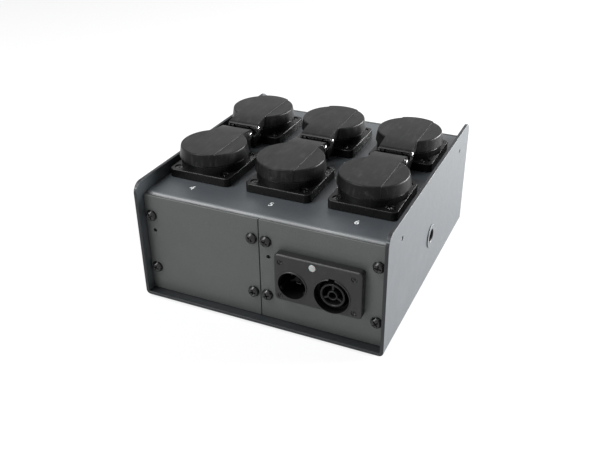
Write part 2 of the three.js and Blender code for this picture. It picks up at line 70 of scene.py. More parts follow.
class Axis(Enum):
    """Direction in which a turned or drilled shape runs."""

    X = (0.0, math.pi / 2, 0.0)
    Y = (-math.pi / 2, 0.0, 0.0)
    FRONT = (math.pi / 2, 0.0, 0.0)
    Z = (0.0, 0.0, 0.0)
    LEFT = (0.0, -math.pi / 2, 0.0)


# ----------------------------------------------------------------------------------------------
# Modelling by hand
# ----------------------------------------------------------------------------------------------


class Bench:
    """The operators that the pieces are modelled with, each working on one mesh at a time."""

    @staticmethod
    def clear() -> None:
        """Leaves edit mode and deselects everything."""
        if bpy.context.object and bpy.context.object.mode != "OBJECT":
            bpy.ops.object.mode_set(mode="OBJECT")
        bpy.ops.object.select_all(action="DESELECT")

    @staticmethod
    def pick(piece: bpy.types.Object) -> None:
        """Makes one piece the active and only selected object.

        Args:
            piece: The piece.
        """
        Bench.clear()
        piece.select_set(True)
        bpy.context.view_layer.objects.active = piece

    @staticmethod
    def settle(piece: bpy.types.Object) -> bpy.types.Object:
        """Applies a piece's place, so that it lies in its mesh.

        Args:
            piece: The piece.

        Returns:
            The same object.
        """
        Bench.pick(piece)
        bpy.ops.object.transform_apply(location=True, rotation=True, scale=True)
        return piece

    @staticmethod
    def block(name: str, low: Point, high: Point) -> bpy.types.Object:
        """Adds a block between two corners.

        Args:
            name: Name of the piece.
            low: Lowest corner, in millimetres.
            high: Highest corner, in millimetres.

        Returns:
            The new object.
        """
        Bench.clear()
        size = [(b - a) * MM for a, b in zip(low, high)]
        centre = [(a + b) / 2 * MM for a, b in zip(low, high)]
        bpy.ops.mesh.primitive_cube_add(size=1.0, location=centre)
        piece = bpy.context.object
        piece.name = name
        piece.scale = size
        return Bench.settle(piece)

    @staticmethod
    def turned(name: str, profile: Profile, sides: int = 48, axis: Axis = Axis.Z,
               at: Point = (0.0, 0.0, 0.0)) -> bpy.types.Object:
        """Draws out a ring along a profile, as on a lathe.

        Args:
            name: Name of the piece.
            profile: Radii and heights, in millimetres. It closes on itself if its ends meet, and
                is capped if not.
            sides: Number of sides of the ring.
            axis: Where the profile's height points.
            at: Where the profile's height 0 lies, in millimetres.

        Returns:
            The new object.
        """
        Bench.clear()
        closed = profile[0] == profile[-1]
        profile = [(radius * MM, height * MM) for radius, height in profile]
        first, start = profile[0]
        bpy.ops.mesh.primitive_circle_add(vertices=sides, radius=first, location=(0, 0, start))
        piece = bpy.context.object
        piece.name = name
        Bench.settle(piece)
        bpy.ops.object.mode_set(mode="EDIT")
        bpy.ops.mesh.select_all(action="SELECT")
        for (radius, height), (next_radius, next_height) in pairwise(profile):
            bpy.ops.mesh.extrude_region_move(
                TRANSFORM_OT_translate={"value": (0, 0, next_height - height)})
            ratio = next_radius / radius
            bpy.ops.transform.resize(value=(ratio, ratio, 1), center_override=(0, 0, next_height))
        bpy.ops.mesh.select_all(action="SELECT")
        if closed:
            bpy.ops.mesh.remove_doubles(threshold=1e-6)
        else:
            bpy.ops.mesh.fill_holes(sides=0)
        bpy.ops.mesh.normals_make_consistent(inside=False)
        bpy.ops.object.mode_set(mode="OBJECT")
        piece.rotation_euler = axis.value
        piece.location = Vector(at) * MM
        return Bench.settle(piece)

    @staticmethod
    def prism(name: str, outline: Profile, axis: Axis, start: float, end: float) -> bpy.types.Object:
        """Draws a flat outline out along an axis.

        Args:
            name: Name of the piece.
            outline: Points (Y, Z) for X, (X, Z) for Y and (X, Y) for Z, in millimetres.
            axis: X, Y or Z.
            start: Where it starts along the axis.
            end: Where it ends.

        Returns:
            The new object.
        """
        place = {
            Axis.X: lambda u, v, w: (w, u, v),
            Axis.Y: lambda u, v, w: (u, w, v),
            Axis.Z: lambda u, v, w: (u, v, w),
        }[axis]
        Bench.clear()
        bpy.ops.mesh.primitive_circle_add(vertices=len(outline), radius=1.0, fill_type="NGON")
        piece = bpy.context.object
        piece.name = name
        for vertex, (u, v) in zip(piece.data.vertices, outline):
            vertex.co = Vector(place(u, v, start)) * MM
        bpy.ops.object.mode_set(mode="EDIT")
        bpy.ops.mesh.select_all(action="SELECT")
        step = Vector(place(0.0, 0.0, end - start)) * MM
        bpy.ops.mesh.extrude_region_move(TRANSFORM_OT_translate={"value": step})
        bpy.ops.mesh.select_all(action="SELECT")
        bpy.ops.mesh.normals_make_consistent(inside=False)
        bpy.ops.object.mode_set(mode="OBJECT")
        return piece

    @staticmethod
    def rod(name: str, radius: float, start: float, end: float, axis: Axis = Axis.Z,
            at: Point = (0.0, 0.0, 0.0), sides: int = 48) -> bpy.types.Object:
        """Adds a plain round rod from one height to another along an axis."""
        return Bench.turned(name, [(radius, start), (radius, end)], sides, axis, at)

    @staticmethod
    def modify(piece: bpy.types.Object, kind: str, **settings: object) -> bpy.types.Object:
        """Adds one modifier with its settings and applies it.

        Args:
            piece: The mesh to work on.
            kind: The modifier's type.
            settings: Values of its properties, by name.

        Returns:
            The same object.
        """
        Bench.pick(piece)
        modifier = piece.modifiers.new(kind.title(), kind)
        for name, value in settings.items():
            setattr(modifier, name, value)
        bpy.ops.object.modifier_apply(modifier=modifier.name)
        return piece

    @staticmethod
    def combine(piece: bpy.types.Object, operation: str,
                tools: Iterable[bpy.types.Object]) -> bpy.types.Object:
        """Joins, cuts or clips a piece with other shapes, which are used up.

        Args:
            piece: The mesh to work on.
            operation: UNION, DIFFERENCE or INTERSECT.
            tools: The other shapes.

        Returns:
            The same object.
        """
        for tool in tools:
            Bench.modify(piece, "BOOLEAN", object=tool, operation=operation, solver="EXACT")
            bpy.data.objects.remove(tool, do_unlink=True)
        return piece

    @staticmethod
    def cut(piece: bpy.types.Object, *tools: bpy.types.Object) -> bpy.types.Object:
        """Cuts shapes out of a piece."""
        return Bench.combine(piece, "DIFFERENCE", tools)

    @staticmethod
    def join(piece: bpy.types.Object, *tools: bpy.types.Object) -> bpy.types.Object:
        """Adds shapes to a piece."""
        return Bench.combine(piece, "UNION", tools)

    @staticmethod
    def clip(piece: bpy.types.Object, *tools: bpy.types.Object) -> bpy.types.Object:
        """Keeps what a piece shares with other shapes."""
        return Bench.combine(piece, "INTERSECT", tools)

    @staticmethod
    def bevel_where(piece: bpy.types.Object, wanted: Callable[[Vector, Vector], bool],
                    width: float, segments: int) -> bpy.types.Object:
        """Rounds the edges that a test picks by their two ends.

        Args:
            piece: The mesh to work on.
            wanted: Says of an edge's two ends, in millimetres, whether the edge is rounded.
            width: Radius of the rounding, in millimetres.
            segments: Number of steps round it.

        Returns:
            The same object.
        """
        Bench.pick(piece)
        bpy.ops.object.mode_set(mode="EDIT")
        bpy.ops.mesh.select_mode(type="EDGE")
        bpy.ops.mesh.select_all(action="DESELECT")
        bpy.ops.object.mode_set(mode="OBJECT")
        mesh = piece.data
        for edge in mesh.edges:
            first, second = (mesh.vertices[i].co / MM for i in edge.vertices)
            edge.select = wanted(first, second)
        bpy.ops.object.mode_set(mode="EDIT")
        bpy.ops.mesh.bevel(offset=width * MM, segments=segments, profile=0.5, affect="EDGES")
        bpy.ops.object.mode_set(mode="OBJECT")
        return piece

    @staticmethod
    def clean(piece: bpy.types.Object, gap: float = 0.04) -> bpy.types.Object:
        """Merges the slivers that cuts leave and dissolves needless edges in flat faces.

        Args:
            piece: The mesh to work on.
            gap: Size of what counts as a sliver, in millimetres.

        Returns:
            The same object.
        """
        Bench.pick(piece)
        bpy.ops.object.mode_set(mode="EDIT")
        bpy.ops.mesh.select_all(action="SELECT")
        bpy.ops.mesh.remove_doubles(threshold=gap * MM)
        bpy.ops.mesh.dissolve_degenerate(threshold=gap * MM)
        bpy.ops.mesh.dissolve_limited(angle_limit=math.radians(0.6))
        bpy.ops.object.mode_set(mode="OBJECT")
        return piece

    @staticmethod
    def soften(piece: bpy.types.Object, width: float, segments: int = 2,
               angle: float = 32.0) -> bpy.types.Object:
        """Breaks every sharp edge of a piece and shades it smooth.

        Args:
            piece: The mesh to work on.
            width: Radius of the broken edges, in millimetres, or 0 to leave them.
            segments: Number of steps round each.
            angle: Angle, in degrees, past which an edge is sharp.

        Returns:
            The same object.
        """
        if width > 0:
            Bench.clean(piece)
            Bench.modify(piece, "BEVEL", width=width * MM, segments=segments, limit_method="ANGLE",
                         angle_limit=math.radians(angle), use_clamp_overlap=False,
                         miter_outer="MITER_ARC", harden_normals=False)
        Bench.pick(piece)
        bpy.ops.object.shade_smooth_by_angle(angle=math.radians(angle))
        return Bench.modify(piece, "WEIGHTED_NORMAL", keep_sharp=True, weight=60)

    @staticmethod
    def copy(piece: bpy.types.Object, name: str, at: Point = (0.0, 0.0, 0.0),
             turn: float = 0.0, axis: Axis = Axis.Z, spin: float = 0.0) -> bpy.types.Object:
        """Makes a copy with a mesh of its own in its place.

        Args:
            piece: The pattern, modelled about the origin.
            name: Name of the copy.
            at: Where the pattern's origin comes to lie, in millimetres.
            turn: Angle about the vertical once it is tipped.
            axis: Where the pattern's Z comes to point.
            spin: Angle about the pattern's own Z before it is tipped.

        Returns:
            The new object.
        """
        twin = piece.copy()
        twin.data = piece.data.copy()
        twin.name = twin.data.name = name
        bpy.context.scene.collection.objects.link(twin)
        tip = Euler(axis.value).to_matrix().to_4x4() @ Matrix.Rotation(spin, 4, "Z")
        twin.data.transform(Matrix.Translation(Vector(at) * MM) @ Matrix.Rotation(turn, 4, "Z") @ tip)
        return twin

    @staticmethod
    def discard(*pieces: bpy.types.Object) -> None:
        """Removes patterns that copies were made from."""
        for piece in pieces:
            bpy.data.objects.remove(piece, do_unlink=True)

    @staticmethod
    def merge(name: str, pieces: Sequence[bpy.types.Object]) -> bpy.types.Object:
        """Puts several separate shapes into one object.

        Args:
            name: Name of the object.
            pieces: The shapes, which are used up.

        Returns:
            The object that holds them all.
        """
        Bench.clear()
        for piece in pieces:
            piece.select_set(True)
        bpy.context.view_layer.objects.active = pieces[0]
        bpy.ops.object.join()
        pieces[0].name = pieces[0].data.name = name
        return pieces[0]


# ----------------------------------------------------------------------------------------------
# Finishes
# ----------------------------------------------------------------------------------------------

Colour = tuple[float, float, float]


class NodeBoard:
    """A material's node tree, with short calls for what the finishes share."""

    def __init__(self, name: str) -> None:
        """Starts an empty material with a shader and its output.

        Args:
            name: Name of the material.
        """
        self.material = bpy.data.materials.new(name)
        self.material.use_nodes = True
        self.tree = self.material.node_tree
        self.tree.nodes.clear()
        self.shader = self.tree.nodes.new("ShaderNodeBsdfPrincipled")
        output = self.tree.nodes.new("ShaderNodeOutputMaterial")
        self.link(self.shader.outputs["BSDF"], output.inputs["Surface"])
        coordinates = self.tree.nodes.new("ShaderNodeTexCoord")
        self.place = coordinates.outputs["Object"]

    def link(self, source: bpy.types.NodeSocket, target: bpy.types.NodeSocket) -> None:
        """Joins an output to an input."""
        self.tree.links.new(source, target)

    def noise(self, size: float, detail: float = 3.0, stretch: Point = (1, 1, 1),
              roughness: float = 0.5) -> bpy.types.NodeSocket:
        """Adds noise on the piece's own coordinates.

        Args:
            size: About how large its features are, in metres.
            detail: Number of finer layers.
            stretch: Factor on each axis. A larger one makes the features shorter there.
            roughness: Weight of the finer layers.

        Returns:
            The noise, from 0 to 1.
        """
        mapping = self.tree.nodes.new("ShaderNodeMapping")
        mapping.inputs["Scale"].default_value = stretch
        self.link(self.place, mapping.inputs["Vector"])
        texture = self.tree.nodes.new("ShaderNodeTexNoise")
        texture.inputs["Scale"].default_value = 1.0 / size
        texture.inputs["Detail"].default_value = detail
        texture.inputs["Roughness"].default_value = roughness
        self.link(mapping.outputs["Vector"], texture.inputs["Vector"])
        return texture.outputs["Fac"]

    def cells(self, size: float) -> bpy.types.NodeSocket:
        """Adds smooth cells.

        Args:
            size: About how wide a cell is, in metres.

        Returns:
            The distance from a cell's middle.
        """
        texture = self.tree.nodes.new("ShaderNodeTexVoronoi")
        texture.feature = "SMOOTH_F1"
        texture.inputs["Scale"].default_value = 1.0 / size
        self.link(self.place, texture.inputs["Vector"])
        return texture.outputs["Distance"]

    def ramp(self, factor: bpy.types.NodeSocket, low: float, high: float,
             start: float = 0.0, end: float = 1.0) -> bpy.types.NodeSocket:
        """Maps a factor from one span to another.

        Args:
            factor: The value to map.
            low: Value that becomes start.
            high: Value that becomes end.
            start: Lowest result.
            end: Highest result.

        Returns:
            The mapped value.
        """
        node = self.tree.nodes.new("ShaderNodeMapRange")
        for name, value in (("From Min", low), ("From Max", high), ("To Min", start), ("To Max", end)):
            node.inputs[name].default_value = value
        self.link(factor, node.inputs["Value"])
        return node.outputs["Result"]

    def math(self, kind: str, first: bpy.types.NodeSocket,
             second: bpy.types.NodeSocket | float) -> bpy.types.NodeSocket:
        """Works out one sum.

        Args:
            kind: The math node's operation.
            first: Its first value.
            second: Its second value, a socket or a number.

        Returns:
            The result.
        """
        node = self.tree.nodes.new("ShaderNodeMath")
        node.operation = kind
        self.link(first, node.inputs[0])
        if isinstance(second, (int, float)):
            node.inputs[1].default_value = second
        else:
            self.link(second, node.inputs[1])
        return node.outputs["Value"]

    def blend(self, factor: bpy.types.NodeSocket, first: bpy.types.NodeSocket | Colour,
              second: bpy.types.NodeSocket | Colour) -> bpy.types.NodeSocket:
        """Mixes two colours.

        Args:
            factor: Share of the second colour.
            first: The first colour, or a socket that gives it.
            second: The second colour, or a socket that gives it.

        Returns:
            The mixed colour.
        """
        node = self.tree.nodes.new("ShaderNodeMix")
        node.data_type = "RGBA"
        self.link(factor, node.inputs["Factor"])
        for socket, value in ((node.inputs[6], first), (node.inputs[7], second)):
            if isinstance(value, tuple):
                socket.default_value = (*value, 1.0)
            else:
                self.link(value, socket)
        return node.outputs[2]

    def bump(self, height: bpy.types.NodeSocket, depth: float, strength: float = 1.0) -> None:
        """Gives the shader a relief.

        Args:
            height: The relief, from 0 to 1.
            depth: Its depth, in metres.
            strength: How strongly it tilts the surface.
        """
        node = self.tree.nodes.new("ShaderNodeBump")
        node.inputs["Distance"].default_value = depth
        node.inputs["Strength"].default_value = strength
        self.link(height, node.inputs["Height"])
        self.link(node.outputs["Normal"], self.shader.inputs["Normal"])


def tinted(colour: Colour, factor: float) -> Colour:
    """Returns a colour made lighter or darker by a factor."""
    return tuple(min(1.0, part * factor) for part in colour)


@dataclass(frozen=True)
class PowderCoat:
    """Fine textured powder coat: speckle, orange peel and faint handling marks."""

    name: str
    colour: Colour
    roughness: float = 0.42
    grain: float = 0.55 * MM
    relief: float = 0.05 * MM
    specular: float = 0.5

    def build(self) -> bpy.types.Material:
        """Makes the material.

        Returns:
            The material.
        """
        board = NodeBoard(self.name)
        speckle = board.noise(self.grain, 2.0)
        mottle = board.noise(28 * MM, 4.0)
        marks = board.ramp(board.noise(9 * MM, 6.0, (1.0, 3.0, 1.0), 0.7), 0.60, 0.74)
        base = board.blend(board.ramp(speckle, 0.3, 0.7), tinted(self.colour, 0.82),
                           tinted(self.colour, 1.22))
        aged = board.blend(board.ramp(mottle, 0.35, 0.7, 0.0, 0.35), base, tinted(self.colour, 0.8))
        rubbed = board.blend(board.math("MULTIPLY", marks, 0.22), aged, tinted(self.colour, 1.7))
        board.link(rubbed, board.shader.inputs["Base Color"])
        rough = board.ramp(mottle, 0.3, 0.7, self.roughness - 0.05, self.roughness + 0.07)
        board.link(board.math("SUBTRACT", rough, board.math("MULTIPLY", marks, 0.06)),
                   board.shader.inputs["Roughness"])
        board.shader.inputs["Specular IOR Level"].default_value = self.specular
        relief = board.math("ADD", board.cells(self.grain * 1.6), speckle)
        board.bump(relief, self.relief, 0.6)
        return board.material


@dataclass(frozen=True)
class MouldedPlastic:
    """Moulded plastic with a spark-eroded grain, light scuffs and dust in the grain."""

    name: str
    colour: Colour
    roughness: float = 0.4
    grain: float = 0.35 * MM
    relief: float = 0.02 * MM
    scuffs: float = 0.25
    streak: Point = (1.0, 6.0, 1.0)
    specular: float = 0.5

    def build(self) -> bpy.types.Material:
        """Makes the material.

        Returns:
            The material.
        """
        board = NodeBoard(self.name)
        grain = board.noise(self.grain, 2.0)
        cloud = board.noise(16 * MM, 5.0)
        scuff = board.ramp(board.noise(7 * MM, 7.0, self.streak, 0.68), 0.56, 0.78)
        smear = board.ramp(board.noise(11 * MM, 4.0, (4.0, 1.0, 1.0), 0.6), 0.52, 0.75)
        marks = board.math("MAXIMUM", scuff, board.math("MULTIPLY", smear, 0.6))
        base = board.blend(board.ramp(grain, 0.3, 0.7), tinted(self.colour, 0.85),
                           tinted(self.colour, 1.15))
        cloudy = board.blend(board.ramp(cloud, 0.3, 0.7, 0.0, 0.4), base, tinted(self.colour, 1.25))
        worn = board.blend(board.math("MULTIPLY", marks, self.scuffs), cloudy,
                           tuple(part + 0.10 for part in tinted(self.colour, 1.6)))
        board.link(worn, board.shader.inputs["Base Color"])
        rough = board.ramp(cloud, 0.3, 0.7, self.roughness - 0.05, self.roughness + 0.06)
        board.link(board.math("ADD", rough, board.math("MULTIPLY", marks, 0.10)),
                   board.shader.inputs["Roughness"])
        board.shader.inputs["Specular IOR Level"].default_value = self.specular
        board.bump(grain, self.relief, 0.7)
        return board.material


@dataclass(frozen=True)
class PlatedSteel:
    """Plated or blackened steel with fine drawing marks and dull patches."""

    name: str
    colour: Colour
    roughness: float = 0.25
    metallic: float = 1.0
    specular: float = 0.5
    stretch: Point = (8.0, 1.0, 1.0)

    def build(self) -> bpy.types.Material:
        """Makes the material.

        Returns:
            The material.
        """
        board = NodeBoard(self.name)
        lines = board.noise(1.2 * MM, 5.0, self.stretch)
        patches = board.noise(5 * MM, 4.0)
        board.link(board.blend(board.ramp(patches, 0.35, 0.65), tinted(self.colour, 0.8), self.colour),
                   board.shader.inputs["Base Color"])
        mixed = board.math("ADD", board.math("MULTIPLY", lines, 0.6),
                           board.math("MULTIPLY", patches, 0.4))
        board.link(board.ramp(mixed, 0.3, 0.7, self.roughness - 0.08, self.roughness + 0.12),
                   board.shader.inputs["Roughness"])
        board.shader.inputs["Metallic"].default_value = self.metallic
        board.shader.inputs["Specular IOR Level"].default_value = self.specular
        board.bump(lines, 0.01 * MM, 0.5)
        return board.material


@dataclass(frozen=True)
class FrostedLens:
    """Frosted lens of an unlit indicator lamp."""

    name: str
    colour: Colour

    def build(self) -> bpy.types.Material:
        """Makes the material.

        Returns:
            The material.
        """
        board = NodeBoard(self.name)
        frost = board.noise(0.5 * MM, 3.0)
        board.link(board.blend(board.ramp(frost, 0.3, 0.7), tinted(self.colour, 0.93), self.colour),
                   board.shader.inputs["Base Color"])
        board.link(board.ramp(frost, 0.3, 0.7, 0.22, 0.38), board.shader.inputs["Roughness"])
        board.shader.inputs["Subsurface Weight"].default_value = 0.15
        board.shader.inputs["Subsurface Scale"].default_value = 1 * MM
        board.bump(frost, 0.01 * MM, 0.4)
        return board.material


@dataclass(frozen=True)
class PrintInk:
    """White screen printing ink, a little uneven at its edges and in its cover."""

    name: str
    colour: Colour

    def build(self) -> bpy.types.Material:
        """Makes the material.

        Returns:
            The material.
        """
        board = NodeBoard(self.name)
        cover = board.noise(0.6 * MM, 4.0)
        board.link(board.blend(board.ramp(cover, 0.4, 0.75), self.colour, tinted(self.colour, 0.7)),
                   board.shader.inputs["Base Color"])
        board.link(board.ramp(cover, 0.3, 0.7, 0.45, 0.6), board.shader.inputs["Roughness"])
        board.bump(cover, 0.01 * MM, 0.4)
        return board.material


class Finish(Enum):
    """Every finish on the box, by what it is on."""

    BOX = PowderCoat("box_powder_coat", (0.044, 0.051, 0.057), specular=0.8)
    PANEL = PowderCoat("panel_powder_coat", (0.040, 0.045, 0.043), roughness=0.46, specular=0.65)
    BUSH = PowderCoat("bush_powder_coat", (0.050, 0.057, 0.063), specular=0.8)
    # Darker coat on the shell's inner floor, wall tops and cut edges: painted shade.
    EDGE = PowderCoat("painted_shade_coat", (0.012, 0.014, 0.016), specular=0.3)
    BORE = PlatedSteel("bore_steel", (0.006, 0.006, 0.006), 0.4, 0.0, specular=0.2)
    SOCKET = MouldedPlastic("socket_plastic", (0.0035, 0.0035, 0.0037), roughness=0.27,
                            scuffs=0.03, specular=0.16)
    LID = MouldedPlastic("lid_plastic", (0.0050, 0.0050, 0.0052), roughness=0.33,
                         scuffs=0.28, specular=0.12)
    INSERT = MouldedPlastic("insert_plastic", (0.0045, 0.0045, 0.0048), roughness=0.42,
                            scuffs=0.03, specular=0.10)
    CONNECTOR = MouldedPlastic("connector_plastic", (0.0100, 0.0100, 0.0104), roughness=0.38,
                               grain=0.28 * MM, scuffs=0.07, specular=0.33)
    OUTLET = MouldedPlastic("outlet_plastic", (0.008, 0.008, 0.0085), scuffs=0.03, specular=0.2)
    # Darker plastic inside the connector's wells: painted shade in the recesses.
    WELL = MouldedPlastic("painted_well_shade", (0.003, 0.003, 0.003), scuffs=0.02, specular=0.12)
    GASKET = MouldedPlastic("gasket_rubber", (0.010, 0.010, 0.010), roughness=0.7,
                            scuffs=0.03, specular=0.2)
    FOOT = MouldedPlastic("foot_rubber", (0.010, 0.010, 0.010), roughness=0.75,
                          scuffs=0.1, specular=0.2)
    BLACK_SCREW = PlatedSteel("black_screw_steel", (0.004, 0.004, 0.0045), 0.15, 0.0, specular=0.4)
    DARK_SCREW = PlatedSteel("dark_screw_steel", (0.10, 0.10, 0.10), 0.32, 0.9)
    # Dark spring steel; also put on the middle of each hinge pin as painted shade.
    SPRING = PlatedSteel("spring_steel", (0.010, 0.010, 0.011), 0.34, 0.0, specular=0.25)
    BRIGHT = PlatedSteel("bright_steel", (0.78, 0.78, 0.76), 0.16)
    CONTACT = PlatedSteel("contact_metal", (0.50, 0.46, 0.38), 0.3)
    # Plated contact metal darkened well below the socket contacts: painted shade for blades deep in the
    # inlet's well.
    BLADE = PlatedSteel("painted_shade_blade_metal", (0.16, 0.15, 0.14), 0.3)
    LENS = FrostedLens("lamp_lens", (0.33, 0.34, 0.33))
    INK = PrintInk("print_ink", (0.86, 0.87, 0.88))
    BROWN_WIRE = MouldedPlastic("brown_wire", (0.11, 0.045, 0.02), roughness=0.5, scuffs=0.02)
    BLUE_WIRE = MouldedPlastic("blue_wire", (0.02, 0.08, 0.30), roughness=0.5, scuffs=0.02)
    EARTH_WIRE = MouldedPlastic("earth_wire", (0.25, 0.40, 0.04), roughness=0.5, scuffs=0.02)


class Paintshop:
    """Keeps one material per finish and puts it on pieces and frame nodes."""

    def __init__(self) -> None:
        """Starts with no material made."""
        self.made: dict[Finish, bpy.types.Material] = {}

    def material(self, finish: Finish) -> bpy.types.Material:
        """Returns a finish's material, making it the first time.

        Args:
            finish: The finish.

        Returns:
            Its material.
        """
        if finish not in self.made:
            self.made[finish] = finish.value.build()
        return self.made[finish]

    def coat(self, piece: bpy.types.Object, finish: Finish) -> None:
        """Gives every slot of a piece one finish.

        Args:
            piece: The mesh to coat.
            finish: What it is coated with.
        """
        if not piece.data.materials:
            piece.data.materials.append(self.material(finish))
        for slot in piece.material_slots:
            slot.material = self.material(finish)

    def coat_where(self, piece: bpy.types.Object, finish: Finish,
                   wanted: Callable[[Vector, Vector], bool]) -> None:
        """Gives some faces of a piece a finish of their own.

        Args:
            piece: The mesh to coat.
            finish: What the faces are coated with.
            wanted: Says of a face's middle, in millimetres, and its normal whether it is coated.
        """
        piece.data.materials.append(self.material(finish))
        for face in piece.data.polygons:
            if wanted(face.center / MM, face.normal):
                face.material_index = len(piece.data.materials) - 1


PAINT = Paintshop()


def fit(piece: bpy.types.Object, finish: Finish, body: str = ROOT, slot: str | None = None,
        replaces: str | None = None) -> bpy.types.Object:
    """Finishes a piece, hangs it on its body and reports it.

    Args:
        piece: The finished mesh.
        finish: What it is coated with or moulded in.
        body: Body that it moves with.
        slot: Not used.
        replaces: Frame node that it stands for, if any.

    Returns:
        The same object.
    """
    PAINT.coat(piece, finish)
    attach(piece, body)
    if replaces:
        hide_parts(replaces)
    LOG.info("%s on %s, %d faces", piece.name, body, len(piece.data.polygons))
    return piece


# ----------------------------------------------------------------------------------------------
# Box
# ----------------------------------------------------------------------------------------------


def arc(cu: float, cv: float, radius: float, start: float, end: float,
        steps: int) -> list[tuple[float, float]]:
    """Works out points along an arc.

    Args:
        cu: First coordinate of its middle, in millimetres.
        cv: Second coordinate of its middle.
        radius: Its radius.
        start: Angle of its first point, in degrees.
        end: Angle of its last point.
        steps: Number of straight steps.

    Returns:
        The points, one more than the steps.
    """
    angles = [math.radians(start + (end - start) * i / steps) for i in range(steps + 1)]
    return [(cu + radius * math.cos(a), cv + radius * math.sin(a)) for a in angles]


@dataclass(frozen=True)
class BoxSizes:
    """Sizes of the sheet metal, in millimetres."""

    half_width: float = 94.0
    half_depth: float = 102.5
    base: float = 2.0
    top: float = 94.0
    wall: float = 2.5
    bend: float = 3.5
    corner: float = 8.0
    deck_top: float = 84.3
    deck_half: float = 91.2
    deck_front: float = 93.2
    sheet: float = 2.0
    deck_bend: float = 4.0
    panel_face: float = 95.5
    panel_back: float = 93.5
    panel_low: float = 4.8
    panel_high: float = 83.3
    seam: float = 0.3
    mullion: float = 11.0
    lip: float = 7.0
    edge: float = 0.3
    columns: tuple[float, ...] = (-63.9, -1.2, 61.5)
    rows: tuple[float, ...] = (-40.2, 40.2)
    cup_hole: float = 44.8
    screw_x: tuple[float, ...] = (-86.1, -5.4, 5.4, 86.1)
    screw_z: tuple[float, ...] = (24.0, 67.4)
    pilot_x: tuple[float, ...] = (-84.5, 7.0)
    pilot_z: float = 55.3
    side_screw_y: float = 74.25
    side_screw_z: float = 79.0
    side_hole: float = 1.65
    screw_hole: float = 2.15
    pilot_hole: float = 1.5
    bush_z: float = 40.8
    bush_hole: float = 6.65
    bush_face: float = 94.75
    bush_bore: float = 5.6
    screw_sunk: float = 0.4
    tab_half: float = 8.0
    tab_drop: float = 14.0
    opening_low: tuple[float, float] = (17.0, 28.0)
    opening_high: tuple[float, float] = (74.6, 62.6)
    panel_corner: float = 0.8
    screw_seat: float = 0.3
    foot_x: float = 77.0
    foot_y: float = 85.5
    clear: float = 120.0


BOX = BoxSizes()


def along(axis: int, *where: float) -> Callable[[Vector, Vector], bool]:
    """Makes a test that picks edges parallel to an axis.

    Args:
        axis: Number of the axis.
        where: Sizes, whatever their signs, that the edge's other two coordinates have.

    Returns:
        The test, for Bench.bevel_where.
    """
    others = [i for i in range(3) if i != axis]

    def wanted(first: Vector, second: Vector) -> bool:
        """Tells whether the edge between two ends is such an edge."""
        return all(abs(abs(end[i]) - size) < 0.01 for end in (first, second)
                   for i, size in zip(others, where)) and abs(first[axis] - second[axis]) > 0.1

    return wanted


